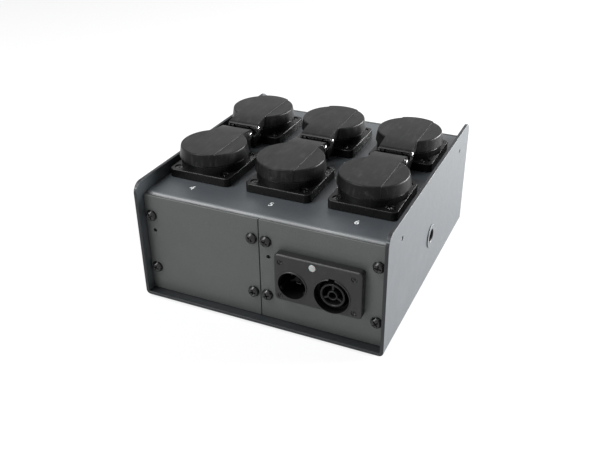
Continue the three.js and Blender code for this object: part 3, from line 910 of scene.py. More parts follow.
class Enclosure:
    """The bent shell, the deck and the panels in its two ends."""

    def __init__(self, sizes: BoxSizes = BOX) -> None:
        """Keeps the sizes.

        Args:
            sizes: The sizes.
        """
        self.sizes = sizes

    def side_holes(self, sides: int) -> list[bpy.types.Object]:
        """Adds the drills for the small screws in the side walls and the deck's tabs.

        Args:
            sides: Number of sides of a drill.

        Returns:
            The drills.
        """
        s = self.sizes
        return [Bench.rod("hole", s.side_hole, -s.clear, s.clear, Axis.X, (0, y, s.side_screw_z), sides)
                for y in (-s.side_screw_y, s.side_screw_y)]

    def mesh_shell(self) -> bpy.types.Object:
        """Bends floor and side walls from one sheet and drills them.

        Returns:
            The shell.
        """
        s = self.sizes
        shell = Bench.block("metal_shell", (-s.half_width, -s.half_depth, s.base),
                            (s.half_width, s.half_depth, s.top))
        Bench.bevel_where(shell, along(1, s.half_width, s.base), s.bend, 8)
        inside = Bench.block("inside", (-s.half_width + s.wall, -s.clear, s.base + s.wall),
                             (s.half_width - s.wall, s.clear, s.clear))
        Bench.bevel_where(inside, along(1, s.half_width - s.wall, s.base + s.wall), s.bend - s.wall, 5)
        Bench.cut(shell, inside)
        Bench.bevel_where(shell, along(0, s.half_depth, s.top), s.corner, 12)
        Bench.cut(shell, *self.side_holes(24),
                  Bench.rod("hole", s.bush_hole, -s.clear, s.clear, Axis.X, (0, 0, s.bush_z), 48))
        return Bench.soften(shell, s.edge, 3, 40)

    def mesh_deck(self) -> bpy.types.Object:
        """Bends the top sheet with its two pierced ends and side tabs.

        Returns:
            The deck.
        """
        s = self.sizes
        deck = Bench.block("metal_deck", (-s.deck_half, -s.deck_front, s.panel_low),
                           (s.deck_half, s.deck_front, s.deck_top))
        Bench.bevel_where(deck, along(0, s.deck_front, s.deck_top), s.deck_bend, 10)
        inner = s.deck_front - s.sheet
        inside = Bench.block("inside", (-s.clear, -inner, -s.clear),
                             (s.clear, inner, s.deck_top - s.sheet))
        Bench.bevel_where(inside, along(0, inner, s.deck_top - s.sheet), s.deck_bend - s.sheet, 6)
        Bench.cut(deck, inside)
        for side in (-1, 1):
            for y in (-s.side_screw_y, s.side_screw_y):
                low, high = sorted((side * (s.deck_half - s.sheet), side * s.deck_half))
                Bench.join(deck, Bench.block("tab", (low, y - s.tab_half, s.deck_top - s.tab_drop),
                                             (high, y + s.tab_half, s.deck_top - s.sheet / 2)))
        tools = []
        for side in (-1, 1):
            left, right = sorted((side * s.mullion, side * (s.half_width - s.wall - s.mullion)))
            tools.append(Bench.block("window", (left, -s.clear, s.panel_low + s.lip),
                                     (right, s.clear, s.deck_top - s.deck_bend - s.lip)))
        tools += [Bench.rod("cup", s.cup_hole / 2, 70, 90, Axis.Z, (x, y, 0), 64)
                  for x in s.columns for y in s.rows]
        tools += [Bench.rod("hole", s.screw_hole, -s.clear, s.clear, Axis.Y, (x, 0, z), 20)
                  for x in s.screw_x for z in s.screw_z]
        Bench.cut(deck, *tools, *self.side_holes(20))
        return Bench.soften(deck, 0.2, 2, 40)

    def mesh_panel(self, name: str, left: float, right: float, side: int,
                   tools: Sequence[bpy.types.Object] = ()) -> bpy.types.Object:
        """Cuts one flat panel with rounded corners.

        Args:
            name: Name of the panel.
            left: Where it starts along X, in millimetres.
            right: Where it ends.
            side: -1 for the front of the box and 1 for the rear.
            tools: What is cut out of it.

        Returns:
            The new object.
        """
        s = self.sizes
        near, far = sorted((side * s.panel_face, side * s.panel_back))
        panel = Bench.block(name, (left, near, s.panel_low), (right, far, s.panel_high))
        Bench.bevel_where(panel, lambda a, b: abs(a.y - b.y) > 0.1, s.panel_corner, 4)
        Bench.cut(panel, *tools)
        return Bench.soften(panel, s.edge, 3, 40)

    def panel_holes(self, number: int) -> list[bpy.types.Object]:
        """Adds the drills for the screws and the pilot hole of a front panel.

        Args:
            number: 0 for the left panel and 1 for the right.

        Returns:
            The drills.
        """
        s = self.sizes
        half = len(s.screw_x) // 2
        drills = [Bench.rod("hole", s.screw_hole, -s.clear, 0, Axis.Y, (x, 0, z), 24)
                  for x in s.screw_x[number * half:][:half] for z in s.screw_z]
        place = (s.pilot_x[number], 0, s.pilot_z)
        return [*drills, Bench.rod("hole", s.pilot_hole, -s.clear, 0, Axis.Y, place, 32)]

    def dress(self) -> None:
        """Finishes the sheet metal and hangs it on the root."""
        s = self.sizes
        shell = fit(self.mesh_shell(), Finish.BOX, slot="box_powder_coat", replaces="shell")
        # The shell's inner floor, the tops of its walls and its cut front and rear edges take the darker
        # coat as painted shade, where the deck and panels keep light off and to dull the highlights along
        # the wall tops.
        PAINT.coat_where(shell, Finish.EDGE, lambda middle, normal: normal.z > 0.6
                         or (abs(normal.y) > 0.6 and abs(middle.y) > s.half_depth - 1.0))
        fit(self.mesh_deck(), Finish.BOX, slot="box_powder_coat", replaces="deck")

        blank = self.mesh_panel("sheet_blank_panel", -s.deck_half, -s.seam, -1, self.panel_holes(0))
        fit(blank, Finish.PANEL, slot="panel_powder_coat", replaces="blank_module_panel")
        (left, low), (right, high) = s.opening_low, s.opening_high
        opening = Bench.block("opening", (left, -s.clear, low), (right, 0, high))
        power = self.mesh_panel("sheet_power_panel", s.seam, s.deck_half, -1,
                                [*self.panel_holes(1), opening])
        fit(power, Finish.PANEL, slot="panel_powder_coat", replaces="power_module_panel")
        rear = self.mesh_panel("sheet_rear_panel", -s.deck_half, s.deck_half, 1)
        fit(rear, Finish.PANEL, slot="panel_powder_coat", replaces="rear_panel")


# ----------------------------------------------------------------------------------------------
# Screws, bushes and feet
# ----------------------------------------------------------------------------------------------


class Fasteners:
    """Screw heads with a cross recess, threaded bushes and rubber feet."""

    @staticmethod
    def cross(reach: float, width: float, top: float, depth: float) -> list[bpy.types.Object]:
        """Adds the two tapered blades that press a cross recess.

        Args:
            reach: Half the recess's width at the top, in millimetres.
            width: Thickness of a blade.
            top: Height of the head's top.
            depth: Depth of the recess.

        Returns:
            The blades.
        """
        blades = []
        for turn in (0.0, math.pi / 2):
            outline = [(-reach, top + 1), (-reach, top), (-0.25 * reach, top - depth),
                       (0.25 * reach, top - depth), (reach, top), (reach, top + 1)]
            blade = Bench.prism("blade", outline, Axis.Y, -width / 2, width / 2)
            blade.rotation_euler.z = turn
            blades.append(Bench.settle(blade))
        return blades

    @staticmethod
    def pan_head(name: str) -> bpy.types.Object:
        """Models a pan head screw pointing down Z.

        Args:
            name: Name of the pattern.

        Returns:
            The new object, its seat at height 0.
        """
        head = [(2.0, -8.0), (2.0, 0.0), (3.85, 0.0), (4.0, 0.2), (4.0, 0.85)]
        head += arc(1.9, 0.5, 2.05, 12, 82, 7)
        head.append((0.9, 2.4))
        screw = Bench.turned(name, head, 40)
        Bench.cut(screw, *Fasteners.cross(2.35, 0.95, 2.4, 1.9))
        return Bench.soften(screw, 0.07, 2, 35)

    @staticmethod
    def countersunk(name: str, radius: float) -> bpy.types.Object:
        """Models a countersunk head.

        Args:
            name: Name of the pattern.
            radius: Radius of the head, in millimetres.

        Returns:
            The new object, its flat face at height 0.
        """
        depth = radius * 0.62
        screw = Bench.turned(name, [(radius * 0.5, -depth * 2.2), (radius * 0.5, -depth),
                                    (radius, -0.25), (radius, -0.08), (radius - 0.1, 0.0)], 32)
        Bench.cut(screw, *Fasteners.cross(radius * 0.62, radius * 0.26, 0.0, radius * 0.5))
        return Bench.soften(screw, 0.04, 1, 35)

    @staticmethod
    def bush(name: str) -> bpy.types.Object:
        """Models a flanged bush whose bore shows a few turns of thread.

        Args:
            name: Name of the pattern.

        Returns:
            The new object, its outer face at height 0.
        """
        crest, root, pitch, length = 5.1, 5.55, 1.5, 13.75
        profile = [(crest, -length), (6.5, -length), (6.5, -0.6), (8.9, -0.6), (9.0, -0.5),
                   (9.0, -0.12), (8.85, 0.0), (5.7, 0.0), (crest, -0.6)]
        for turn in range(6):
            depth = turn * pitch
            profile += [(root, -1.0 - depth), (crest, -1.75 - depth), (crest, -2.1 - depth)]
        profile.append((crest, -length))
        return Bench.soften(Bench.turned(name, profile, 56), 0.0)

    def dress_panels(self) -> None:
        """Puts the screws and their washers on the front and rear panels."""
        s = BOX
        pattern = self.pan_head("pattern")
        washer = Bench.turned("washer", [(2.3, -0.3), (4.3, -0.3), (4.42, -0.2), (4.42, -0.08),
                                         (4.3, 0.0), (2.3, 0.0), (2.3, -0.3)], 40)
        Bench.soften(washer, 0.0)
        places = ("left_outer", "left_inner", "right_inner", "right_outer")
        for index, (x, place) in enumerate(zip(s.screw_x, places)):
            for level, z in zip(("lower", "upper"), s.screw_z):
                spin = 0.5 + 1.9 * index + (0.8 if level == "lower" else 0.0)
                for side, where in ((1, "front"), (-1, "rear")):
                    name = f"{where}_{place}_{level}"
                    at = (x, -side * (s.panel_face + s.screw_seat), z)
                    turn = 0.0 if side > 0 else math.pi
                    fit(Bench.copy(pattern, f"screw_{name}", at, turn, Axis.FRONT, spin),
                        Finish.BLACK_SCREW, slot="black_screw_steel",
                        replaces=f"panel_screw_{place}_{level}" if side > 0 else None)
                    fit(Bench.copy(washer, f"washer_{name}", at, turn, Axis.FRONT),
                        Finish.BLACK_SCREW, slot="black_screw_steel")
        Bench.discard(pattern, washer)

    def dress_sides(self) -> None:
        """Puts the set screws, the feet and the bushes on both sides."""
        s = BOX
        small = self.countersunk("small", 1.5)
        bush = self.bush("bush")
        foot = Bench.turned("foot", [(6.9, 0.0), (7.3, 0.15), (7.5, 0.5), (7.5, 1.85)], 40)
        Bench.soften(foot, 0.0)
        for side, name, axis in ((-1, "left", Axis.LEFT), (1, "right", Axis.X)):
            for end, where in ((-1, "front"), (1, "rear")):
                at = (side * (s.half_width - s.screw_sunk), end * s.side_screw_y, s.side_screw_z)
                fit(Bench.copy(small, f"set_screw_{name}_{where}", at, 0.0, axis),
                    Finish.BLACK_SCREW, slot="black_screw_steel", replaces=f"deck_screw_{name}_{where}")
                fit(Bench.copy(foot, f"rubber_foot_{name}_{where}", (side * s.foot_x, end * s.foot_y, 0)),
                    Finish.FOOT, slot="foot_rubber", replaces=f"foot_{name}_{where}")
            at = (side * s.bush_face, 0, s.bush_z)
            seated = fit(Bench.copy(bush, f"threaded_bush_{name}", at, 0.0, axis), Finish.BUSH,
                         slot="bush_powder_coat", replaces=f"side_bush_{name}")
            PAINT.coat_where(seated, Finish.BORE,
                             lambda middle, _: math.hypot(middle.y, middle.z - s.bush_z) < s.bush_bore)
        Bench.discard(small, bush, foot)

    def dress(self) -> None:
        """Puts every screw, bush and foot in its place."""
        self.dress_panels()
        self.dress_sides()


# ----------------------------------------------------------------------------------------------
# Sockets
# ----------------------------------------------------------------------------------------------


@dataclass(frozen=True)
class SocketSizes:
    """Sizes of a socket about the middle of its flange's top, in millimetres."""

    flange: float = 25.0
    flange_height: float = 6.4
    flange_rise: float = 6.7
    corner: float = 4.0
    collar: float = 24.6
    collar_height: float = 5.8
    spigot: float = 22.6
    rim: float = 10.5
    bore: float = 20.0
    cup: float = 21.8
    cup_depth: float = 27.0
    screw_place: float = 19.0
    insert_face: float = -7.0
    insert_back: float = -28.4
    lid_top: float = 24.4
    lid_bottom: float = 25.7
    lid_low: float = 6.4
    lid_high: float = 15.0
    roof: float = 2.0
    skirt: float = 1.4
    band: float = 0.4
    tab_half: float = 12.3
    reach: float = 33.4
    pin_height: float = 9.5
    barrel: float = 4.1
    pocket: float = 3.2
    cheek: float = 1.6
    lug: float = 2.2
    lug_radius: float = 2.7
    pin_hole: float = 1.5
    contact_place: float = 9.5
    contact_depth: float = 14.0


class Socket:
    """An earthed socket: housing, insert, contacts, sprung lid, spring and pin."""

    def __init__(self, sizes: SocketSizes = SocketSizes()) -> None:
        """Keeps the sizes and works out what follows from them.

        Args:
            sizes: The sizes.
        """
        self.sizes = sizes
        self.band_end = math.sqrt(sizes.lid_top ** 2 - sizes.tab_half ** 2)
        self.lug_outer = sizes.tab_half - sizes.cheek - 0.36

    def pin_drill(self) -> bpy.types.Object:
        """Adds the drill for the hinge pin."""
        s = self.sizes
        return Bench.rod("pin", s.pin_hole, -20, 20, Axis.X, (0, s.reach, s.pin_height), 24)

    def mesh_housing(self) -> bpy.types.Object:
        """Models the flange, cup, collar and hinge lugs in one piece.

        Returns:
            The housing.
        """
        s = self.sizes
        plate = Bench.block("housing", (-s.flange, -s.flange, -s.flange_height),
                            (s.flange, s.flange, 0))
        Bench.bevel_where(plate, along(2, s.flange, s.flange), s.corner, 8)
        Bench.bevel_where(plate, lambda a, b: max(abs(a.z), abs(b.z)) < 0.01, 0.7, 4)
        body = Bench.turned("body", [(s.cup, -s.cup_depth), (s.cup, -1.0), (s.collar, -1.0),
                                     (s.collar, s.collar_height - 0.6),
                                     (s.collar - 0.18, s.collar_height - 0.18),
                                     (s.collar - 0.6, s.collar_height), (s.spigot, s.collar_height),
                                     (s.spigot, s.rim - 0.5), (s.spigot - 0.5, s.rim)], 96)
        base = Bench.block("base", (-self.lug_outer, s.collar - 4, -4.0),
                           (self.lug_outer, s.reach + 3.9, 4.6))
        Bench.bevel_where(base, lambda a, b: abs(a.z - 4.6) < 0.01 and abs(b.z - 4.6) < 0.01, 0.4, 3)
        Bench.join(plate, body, base)
        for side in (-1, 1):
            low, high = sorted((side * (self.lug_outer - s.lug), side * self.lug_outer))
            stem = Bench.block("stem", (low, s.reach - s.lug_radius, 3.6),
                               (high, s.reach + 1.8, s.pin_height))
            Bench.join(plate, stem, Bench.rod("lug", s.lug_radius, low, high, Axis.X,
                                              (0, s.reach, s.pin_height), 32))
        well = Bench.turned("well", [(s.bore, -40), (s.bore, s.rim - 0.6), (s.bore + 0.65, s.rim + 0.05),
                                     (s.bore + 0.65, 20)], 96)
        recesses = [Bench.turned("recess", [(3.2, -2.0), (3.2, -0.5), (3.55, 0.0), (3.6, 1.0)], 36,
                                 at=(x, y, 0))
                    for x in (-s.screw_place, s.screw_place) for y in (-s.screw_place, s.screw_place)]
        Bench.cut(plate, well, self.pin_drill(), *recesses)
        return Bench.soften(plate, 0.12, 2, 40)

    def mesh_insert(self) -> bpy.types.Object:
        """Models the insulating insert with its contact holes and earth slots.

        Returns:
            The insert.
        """
        s = self.sizes
        face = s.insert_face
        floor = face - s.contact_depth
        disc = Bench.turned("insert", [(19.7, s.insert_back), (19.7, face - 0.4), (19.3, face),
                                       (17.2, face), (16.9, face - 0.5), (0.6, face - 0.5)], 80)
        profile = [(2.7, floor), (2.7, face - 1.1), (3.4, face - 0.3), (3.5, face + 1)]
        tools = [Bench.turned("contact", profile, 32, at=(x, 0, 0))
                 for x in (-s.contact_place, s.contact_place)]
        tools += [Bench.block("slot", (-4, low, floor), (4, high, face + 1))
                  for low, high in ((-21, -17.8), (17.8, 21))]
        tools.append(Bench.turned("screw", [(2.6, face - 2.2), (2.6, face + 1)], 32))
        Bench.cut(disc, *tools)
        return Bench.soften(disc, 0.15, 2, 40)

    def mesh_contacts(self) -> bpy.types.Object:
        """Models the two contact tubes and the two sprung earth strips.

        Returns:
            The contacts, as one object.
        """
        s = self.sizes
        face = s.insert_face
        foot, mouth = face - 12, face - 2.2
        tube = [(2.2, foot), (2.6, foot), (2.6, mouth), (2.2, mouth), (2.2, foot)]
        metal = [Bench.turned("tube", tube, 32, at=(x, 0, 0))
                 for x in (-s.contact_place, s.contact_place)]
        strip = ((19.2, foot), (19.2, 3.0), (18.3, 5.6), (18.8, 5.8), (19.7, 3.1), (19.7, foot))
        metal += [Bench.prism("strip", [(side * y, z) for y, z in strip], Axis.X, -2.4, 2.4)
                  for side in (-1, 1)]
        return Bench.soften(Bench.merge("contacts", metal), 0.08, 2, 40)

    def hood(self, name: str, grow: float, low: float) -> bpy.types.Object:
        """Turns the lid's outer shape.

        Args:
            name: Name of the shape.
            grow: How much larger it is on every side, in millimetres.
            low: Height of its lower edge.

        Returns:
            The new object.
        """
        s = self.sizes
        top, radius = s.lid_high + grow, s.lid_top + grow
        profile = [(s.lid_bottom + grow - 0.2, low), (s.lid_bottom + grow, low + 0.3)]
        profile += arc(radius - 1.0, top - 1.0, 1.0, 8, 90, 7)
        return Bench.turned(name, profile, 112)

    def mesh_lid(self) -> bpy.types.Object:
        """Models the lid: hood, raised band, hinge tab, cheeks and cavity.

        Returns:
            The lid.
        """
        s = self.sizes
        lid = self.hood("lid", 0.0, s.lid_low)
        band = self.hood("band", s.band, s.lid_low)
        Bench.clip(band, Bench.block("strip", (-s.tab_half, -60, 0), (s.tab_half, self.band_end, 30)))
        cavity = Bench.turned("cavity", [(s.lid_bottom - s.skirt, s.lid_low - 1),
                                         (s.lid_top - s.skirt + 0.3, s.lid_high - s.roof - 0.8),
                                         (s.lid_top - s.skirt - 0.5, s.lid_high - s.roof)], 112)
        Bench.join(lid, band)
        Bench.cut(lid, cavity)
        crown = s.lid_high + s.band
        outline = [(self.band_end - 3, crown), (self.band_end, crown),
                   *arc(s.reach, s.pin_height, s.barrel, 86, 37, 8),
                   *arc(s.reach, s.pin_height, s.pocket, 37, 90, 8),
                   (self.band_end + 3, s.lid_high - s.roof), (self.band_end - 3, s.lid_high - s.roof)]
        Bench.join(lid, Bench.prism("tab", outline, Axis.X, -s.tab_half, s.tab_half))
        for side in (-1, 1):
            low, high = sorted((side * (s.tab_half - s.cheek), side * s.tab_half))
            web = [(self.band_end + 0.8, s.lid_high - 1.2), (self.band_end + 2, s.pin_height - 0.6),
                   *arc(s.reach, s.pin_height, s.barrel - 0.05, -105, 85, 24)]
            Bench.join(lid, Bench.prism("cheek", web, Axis.X, low, high))
        Bench.cut(lid, self.pin_drill())
        return Bench.soften(lid, 0.16, 2, 38)

    def mesh_gasket(self) -> bpy.types.Object:
        """Models the sealing ring in the lid's roof.

        Returns:
            The gasket.
        """
        roof = self.sizes.lid_high - self.sizes.roof - 0.05
        inner, outer = 19.8, 22.5
        ring = Bench.turned("gasket", [(inner, 11.2), (inner + 0.6, 10.95), (outer - 0.3, 10.95),
                                       (outer, 11.3), (outer, roof), (inner, roof), (inner, 11.2)], 96)
        return Bench.soften(ring, 0.0)

    def mesh_pin(self) -> bpy.types.Object:
        """Models the hinge pin with its two domed heads.

        Returns:
            The pin.
        """
        end = self.sizes.tab_half + 0.3
        half = [(1.2, end), (1.8, end), (1.9, end + 0.15), (1.8, end + 0.45), (1.3, end + 0.65),
                (0.5, end + 0.7)]
        profile = [(r, -h) for r, h in reversed(half)] + half
        pin = Bench.turned("pin", profile, 32, Axis.X, (0, self.sizes.reach, self.sizes.pin_height))
        return Bench.soften(pin, 0.0, angle=50)

    def mesh_spring(self) -> bpy.types.Object:
        """Winds the torsion spring round the pin, with a leg to the housing and one to the lid.

        Returns:
            The spring.
        """
        s = self.sizes
        wire, radius, half, turns = 0.5, 2.2, 5.4, 9
        Bench.clear()
        bpy.ops.mesh.primitive_circle_add(vertices=10, radius=wire * MM, location=(0, 0, radius * MM),
                                          rotation=(math.pi / 2, 0, 0))
        coil = bpy.context.object
        Bench.settle(coil)
        coil.data.transform(Matrix.Translation((-half * MM, 0, 0)))
        Bench.modify(coil, "SCREW", axis="X", screw_offset=2 * half / turns * MM, angle=math.tau,
                     iterations=turns, steps=20, render_steps=20, use_merge_vertices=False)
        coil.data.transform(Matrix.Translation(Vector((0, s.reach, s.pin_height)) * MM))
        legs = [Bench.rod("leg", wire, 4.9, s.pin_height, Axis.Z, (-half, s.reach - radius, 0), 10),
                Bench.rod("leg", wire, -7.2, 0.0, Axis.Y, (half, s.reach, s.pin_height + radius), 10)]
        spring = Bench.merge("spring", [coil, *legs])
        Bench.pick(spring)
        bpy.ops.object.mode_set(mode="EDIT")
        bpy.ops.mesh.select_all(action="SELECT")
        bpy.ops.mesh.fill_holes(sides=0)
        bpy.ops.mesh.normals_make_consistent(inside=False)
        bpy.ops.object.mode_set(mode="OBJECT")
        return Bench.soften(spring, 0.0, angle=50)

    def dress(self) -> None:
        """Models one of each piece and puts a copy of it at each of the six sockets."""
        s = self.sizes
        housing, insert, contacts = self.mesh_housing(), self.mesh_insert(), self.mesh_contacts()
        lid, gasket = self.mesh_lid(), self.mesh_gasket()
        pin, spring = self.mesh_pin(), self.mesh_spring()
        screw = Fasteners.countersunk("screw", 3.0)
        centre_screw = Fasteners.countersunk("centre", 2.4)
        flange_top = BOX.deck_top + s.flange_rise
        for row, (y, row_name) in enumerate(zip(BOX.rows, ("front", "rear"))):
            turn = row * math.pi
            for column, (x, column_name) in enumerate(zip(BOX.columns, ("left", "middle", "right"))):
                where, at = f"{row_name}_{column_name}", (x, y, flange_top)
                body = f"lid_{where}"
                fit(Bench.copy(housing, f"flanged_housing_{where}", at, turn), Finish.SOCKET,
                    slot="socket_plastic", replaces=f"socket_housing_{where}")
                fit(Bench.copy(insert, f"contact_insert_{where}", at, turn), Finish.INSERT,
                    slot="insert_plastic", replaces=f"socket_insert_{where}")
                fit(Bench.copy(contacts, f"contact_strips_{where}", at, turn), Finish.CONTACT,
                    slot="bright_steel")
                fit(Bench.copy(lid, f"sprung_lid_{where}", at, turn), Finish.LID, body,
                    slot="lid_plastic", replaces=f"socket_lid_{where}")
                fit(Bench.copy(gasket, f"lid_seal_{where}", at, turn), Finish.GASKET, body)
                rod = fit(Bench.copy(pin, f"lid_pin_{where}", at, turn), Finish.BRIGHT,
                          slot="bright_steel", replaces=f"hinge_pin_{where}")
                # The pin's middle, inside the lid's barrel, takes the dark spring finish as painted
                # shade; the pin itself is one bright steel.
                PAINT.coat_where(rod, Finish.SPRING, lambda middle, _: abs(middle.x - x) < s.tab_half)
                place = (x, y, flange_top + s.insert_face - 0.9)
                fit(Bench.copy(centre_screw, f"insert_screw_{where}", place), Finish.DARK_SCREW)
                for index, (u, v) in enumerate(((-1, -1), (1, -1), (-1, 1), (1, 1))):
                    place = (x + u * s.screw_place, y + v * s.screw_place, flange_top - 0.7)
                    spin = 0.4 + 0.7 * index + row + column
                    fit(Bench.copy(screw, f"flange_screw_{where}_{index}", place, spin),
                        Finish.BLACK_SCREW, slot="black_screw_steel")
                self.fit_spring(Bench.copy(spring, f"coil_spring_{where}", at, turn), where, at, row)
        Bench.discard(housing, insert, contacts, lid, gasket, pin, spring, screw, centre_screw)

    def fit_spring(self, coil: bpy.types.Object, where: str, at: Point, row: int) -> None:
        """Finishes a spring and hides the frame's spring in its place.

        Args:
            coil: The spring.
            where: Name of the socket's row and column.
            at: The middle of the socket's flange top, in millimetres. Not used.
            row: 0 for the front row and 1 for the rear row. Not used.
        """
        PAINT.coat(coil, Finish.SPRING)
        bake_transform(coil)
        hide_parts(f"lid_spring_{where}")
        LOG.info("%s between %s and the lid, %d faces", coil.name, ROOT, len(coil.data.polygons))


# ----------------------------------------------------------------------------------------------
# Power inlet and outlet
# ----------------------------------------------------------------------------------------------


@dataclass(frozen=True)
class ConnectorSizes:
    """Sizes of the twin connector in the right-hand panel, in millimetres."""

    centre: tuple[float, float] = (45.8, 45.3)
    half: tuple[float, float] = (31.8, 18.3)
    body: tuple[float, float] = (28.5, 17.0)
    corner: float = 3.0
    edge: float = 1.4
    body_corner: float = 2.0
    front: float = -102.0
    seat: float = -95.8
    back: float = -62.5
    inlet: tuple[float, float] = (27.5, 41.3)
    inlet_well: float = 10.2
    outlet: tuple[float, float] = (56.4, 40.5)
    outlet_well: float = 11.2
    outlet_mouth: float = 12.6
    mouth_depth: float = 5.6
    collar: float = 0.8
    proud: float = 0.8
    depth: float = 28.0
    lamp: tuple[float, float] = (42.3, 59.0)
    lamp_hole: float = 2.8
    keys: tuple[tuple[float, float, float], ...] = ((90, 4.2, 1.4), (205, 2.6, 1.2), (335, 2.6, 1.2))
    barriers: tuple[float, ...] = (90, 210, 330)
    blades: tuple[float, ...] = (30, 150, 270)
    screws: tuple[tuple[float, float], ...] = ((18.9, 57.8), (18.6, 31.3), (71.9, 57.8), (72.2, 31.5))


class Connector:
    """The moulded twin connector: locking inlet, locking outlet and lamp."""

    def __init__(self, sizes: ConnectorSizes = ConnectorSizes()) -> None:
        """Keeps the sizes.

        Args:
            sizes: The sizes.
        """
        self.sizes = sizes

    def rod(self, radius: float, start: float, end: float, place: tuple[float, float],
            sides: int = 64) -> bpy.types.Object:
        """Adds a rod along Y.

        Args:
            radius: Its radius, in millimetres.
            start: Depth behind the face at which it starts.
            end: Depth at which it ends.
            place: Its X and Z on the face.
            sides: Number of sides.

        Returns:
            The new object.
        """
        face = self.sizes.front
        return Bench.rod("rod", radius, face + start, face + end, Axis.Y, (place[0], 0, place[1]), sides)

    def ring(self, profile: Profile, place: tuple[float, float], sides: int = 64) -> bpy.types.Object:
        """Turns a ring about Y; its profile's heights are depths behind the face."""
        return Bench.turned("ring", profile, sides, Axis.Y, (place[0], self.sizes.front, place[1]))

    def rib(self, place: tuple[float, float], degrees: float, reach: tuple[float, float],
            depth: tuple[float, float], thickness: float) -> bpy.types.Object:
        """Adds a flat rib that points away from a place on the face.

        Args:
            place: X and Z of the place that it points away from, in millimetres.
            degrees: Its direction, 0 along X and 90 upwards.
            reach: Where it starts and ends, from the place.
            depth: Where it starts and ends, behind the face.
            thickness: Its thickness.

        Returns:
            The new object.
        """
        face = self.sizes.front
        rib = Bench.block("rib", (reach[0], face + depth[0], -thickness / 2),
                          (reach[1], face + depth[1], thickness / 2))
        rib.rotation_euler.y = -math.radians(degrees)
        Bench.settle(rib)
        rib.data.transform(Matrix.Translation(Vector((place[0], 0, place[1])) * MM))
        return rib

    def mesh_housing(self) -> bpy.types.Object:
        """Models the flange and body with both wells, collars and countersinks.

        Returns:
            The housing.
        """
        s = self.sizes
        (cx, cz), (hx, hz), (bx, bz) = s.centre, s.half, s.body
        flange = Bench.block("flange", (cx - hx, s.front, cz - hz), (cx + hx, s.seat, cz + hz))
        Bench.bevel_where(flange, lambda a, b: abs(a.y - b.y) > 0.1, s.corner, 8)
        Bench.bevel_where(flange, lambda a, b: max(a.y, b.y) < s.front + 0.01, s.edge, 4)
        body = Bench.block("body", (cx - bx, s.seat - 1, cz - bz), (cx + bx, s.back, cz + bz))
        Bench.bevel_where(body, lambda a, b: abs(a.y - b.y) > 0.1, s.body_corner, 5)
        collars = [self.ring([(radius - 1, 2), (radius + s.collar, 2), (radius + s.collar, -0.4),
                              (radius + s.collar - 0.3, -s.proud), (radius - 1, -s.proud),
                              (radius - 1, 2)], place)
                   for radius, place in ((s.inlet_well, s.inlet), (s.outlet_mouth, s.outlet))]
        Bench.join(flange, body, *collars)
        tools = [self.rod(s.inlet_well, -2, s.depth, s.inlet),
                 self.rod(s.outlet_well, -2, s.depth, s.outlet),
                 self.rod(s.outlet_mouth, -2, s.mouth_depth, s.outlet),
                 self.rod(s.lamp_hole, -2, 3.3, s.lamp, 40)]
        tools += [self.ring([(1.2, 4.0), (1.2, 1.6), (2.2, 0.6), (2.2, -2)], place, 32)
                  for place in s.screws]
        Bench.cut(flange, *tools)
        keys = [self.rib(s.inlet, degrees, (s.inlet_well - reach, s.inlet_well + 0.6), (0.6, 9.0), width)
                for degrees, width, reach in s.keys]
        Bench.join(flange, *keys)
        notch = Bench.block("notch", (s.outlet[0] - 2.2, s.front - 2, s.outlet[1] + s.outlet_mouth - 1),
                            (s.outlet[0] + 2.2, s.front + 5.0, s.outlet[1] + s.outlet_mouth + 1.0))
        Bench.cut(flange, notch)
        return Bench.soften(flange, 0.16, 2, 38)

    def in_well(self, middle: Vector, _: Vector) -> bool:
        """Tells whether a face of the housing lies in the inlet's or the outlet's well.

        Args:
            middle: The face's middle, in millimetres.

        Returns:
            Whether it does.
        """
        s = self.sizes
        return middle.y > s.front + 0.4 and any(
            math.hypot(middle.x - x, middle.z - z) < radius + 0.2
            for radius, (x, z) in ((s.inlet_well, s.inlet), (s.outlet_mouth, s.outlet)))

    def mesh_inlet(self) -> bpy.types.Object:
        """Models the inlet's base with its hub and the three barriers between its blades.

        Returns:
            The inlet core.
        """
        s = self.sizes
        base = self.rod(9.9, 21.7, 27.7, s.inlet)
        hub = self.rod(1.9, 8.2, 23.0, s.inlet, 32)
        Bench.join(base, hub, *(self.rib(s.inlet, degrees, (0.0, 6.2), (9.0, 23.0), 1.6)
                                for degrees in s.barriers))
        return Bench.soften(base, 0.15, 2, 38)

    def mesh_blades(self) -> bpy.types.Object:
        """Models the three plated contact blades of the inlet.

        Returns:
            The blades, as one object.
        """
        s = self.sizes
        blades = [self.rib(s.inlet, degrees, (4.4, 5.2), (10.5, 24.0), 4.0) for degrees in s.blades]
        return Bench.soften(Bench.merge("blades", blades), 0.15, 2)

    def mesh_outlet(self) -> bpy.types.Object:
        """Models the outlet's base with its sleeve, core and spokes.

        Returns:
            The outlet core.
        """
        s = self.sizes
        back, plug = s.depth - 0.3, s.depth - 5.3
        root = plug + 1
        base = self.rod(10.9, plug, back, s.outlet)
        sleeve = self.ring([(7.4, root), (7.4, 1.5), (7.8, 1.0), (8.6, 1.0), (9.0, 1.4), (9.0, root),
                            (7.4, root)], s.outlet)
        core = self.ring([(2.5, root), (2.5, 1.4), (2.8, 1.0), (3.3, 1.0), (3.6, 1.3), (3.6, root),
                          (2.5, root)], s.outlet, 40)
        Bench.join(base, sleeve, core, *(self.rib(s.outlet, degrees, (3.2, 7.8), (2.0, root), 1.4)
                                         for degrees in s.barriers))
        return Bench.soften(base, 0.12, 2, 38)

    def mesh_lens(self) -> bpy.types.Object:
        """Turns the domed lens of the lamp.

        Returns:
            The lens.
        """
        profile = [(2.5, 3.0), (2.5, 0.0), (2.4, -0.15), (1.9, -0.28), (1.2, -0.36), (0.4, -0.4)]
        return Bench.soften(self.ring(profile, self.sizes.lamp, 40), 0.0)

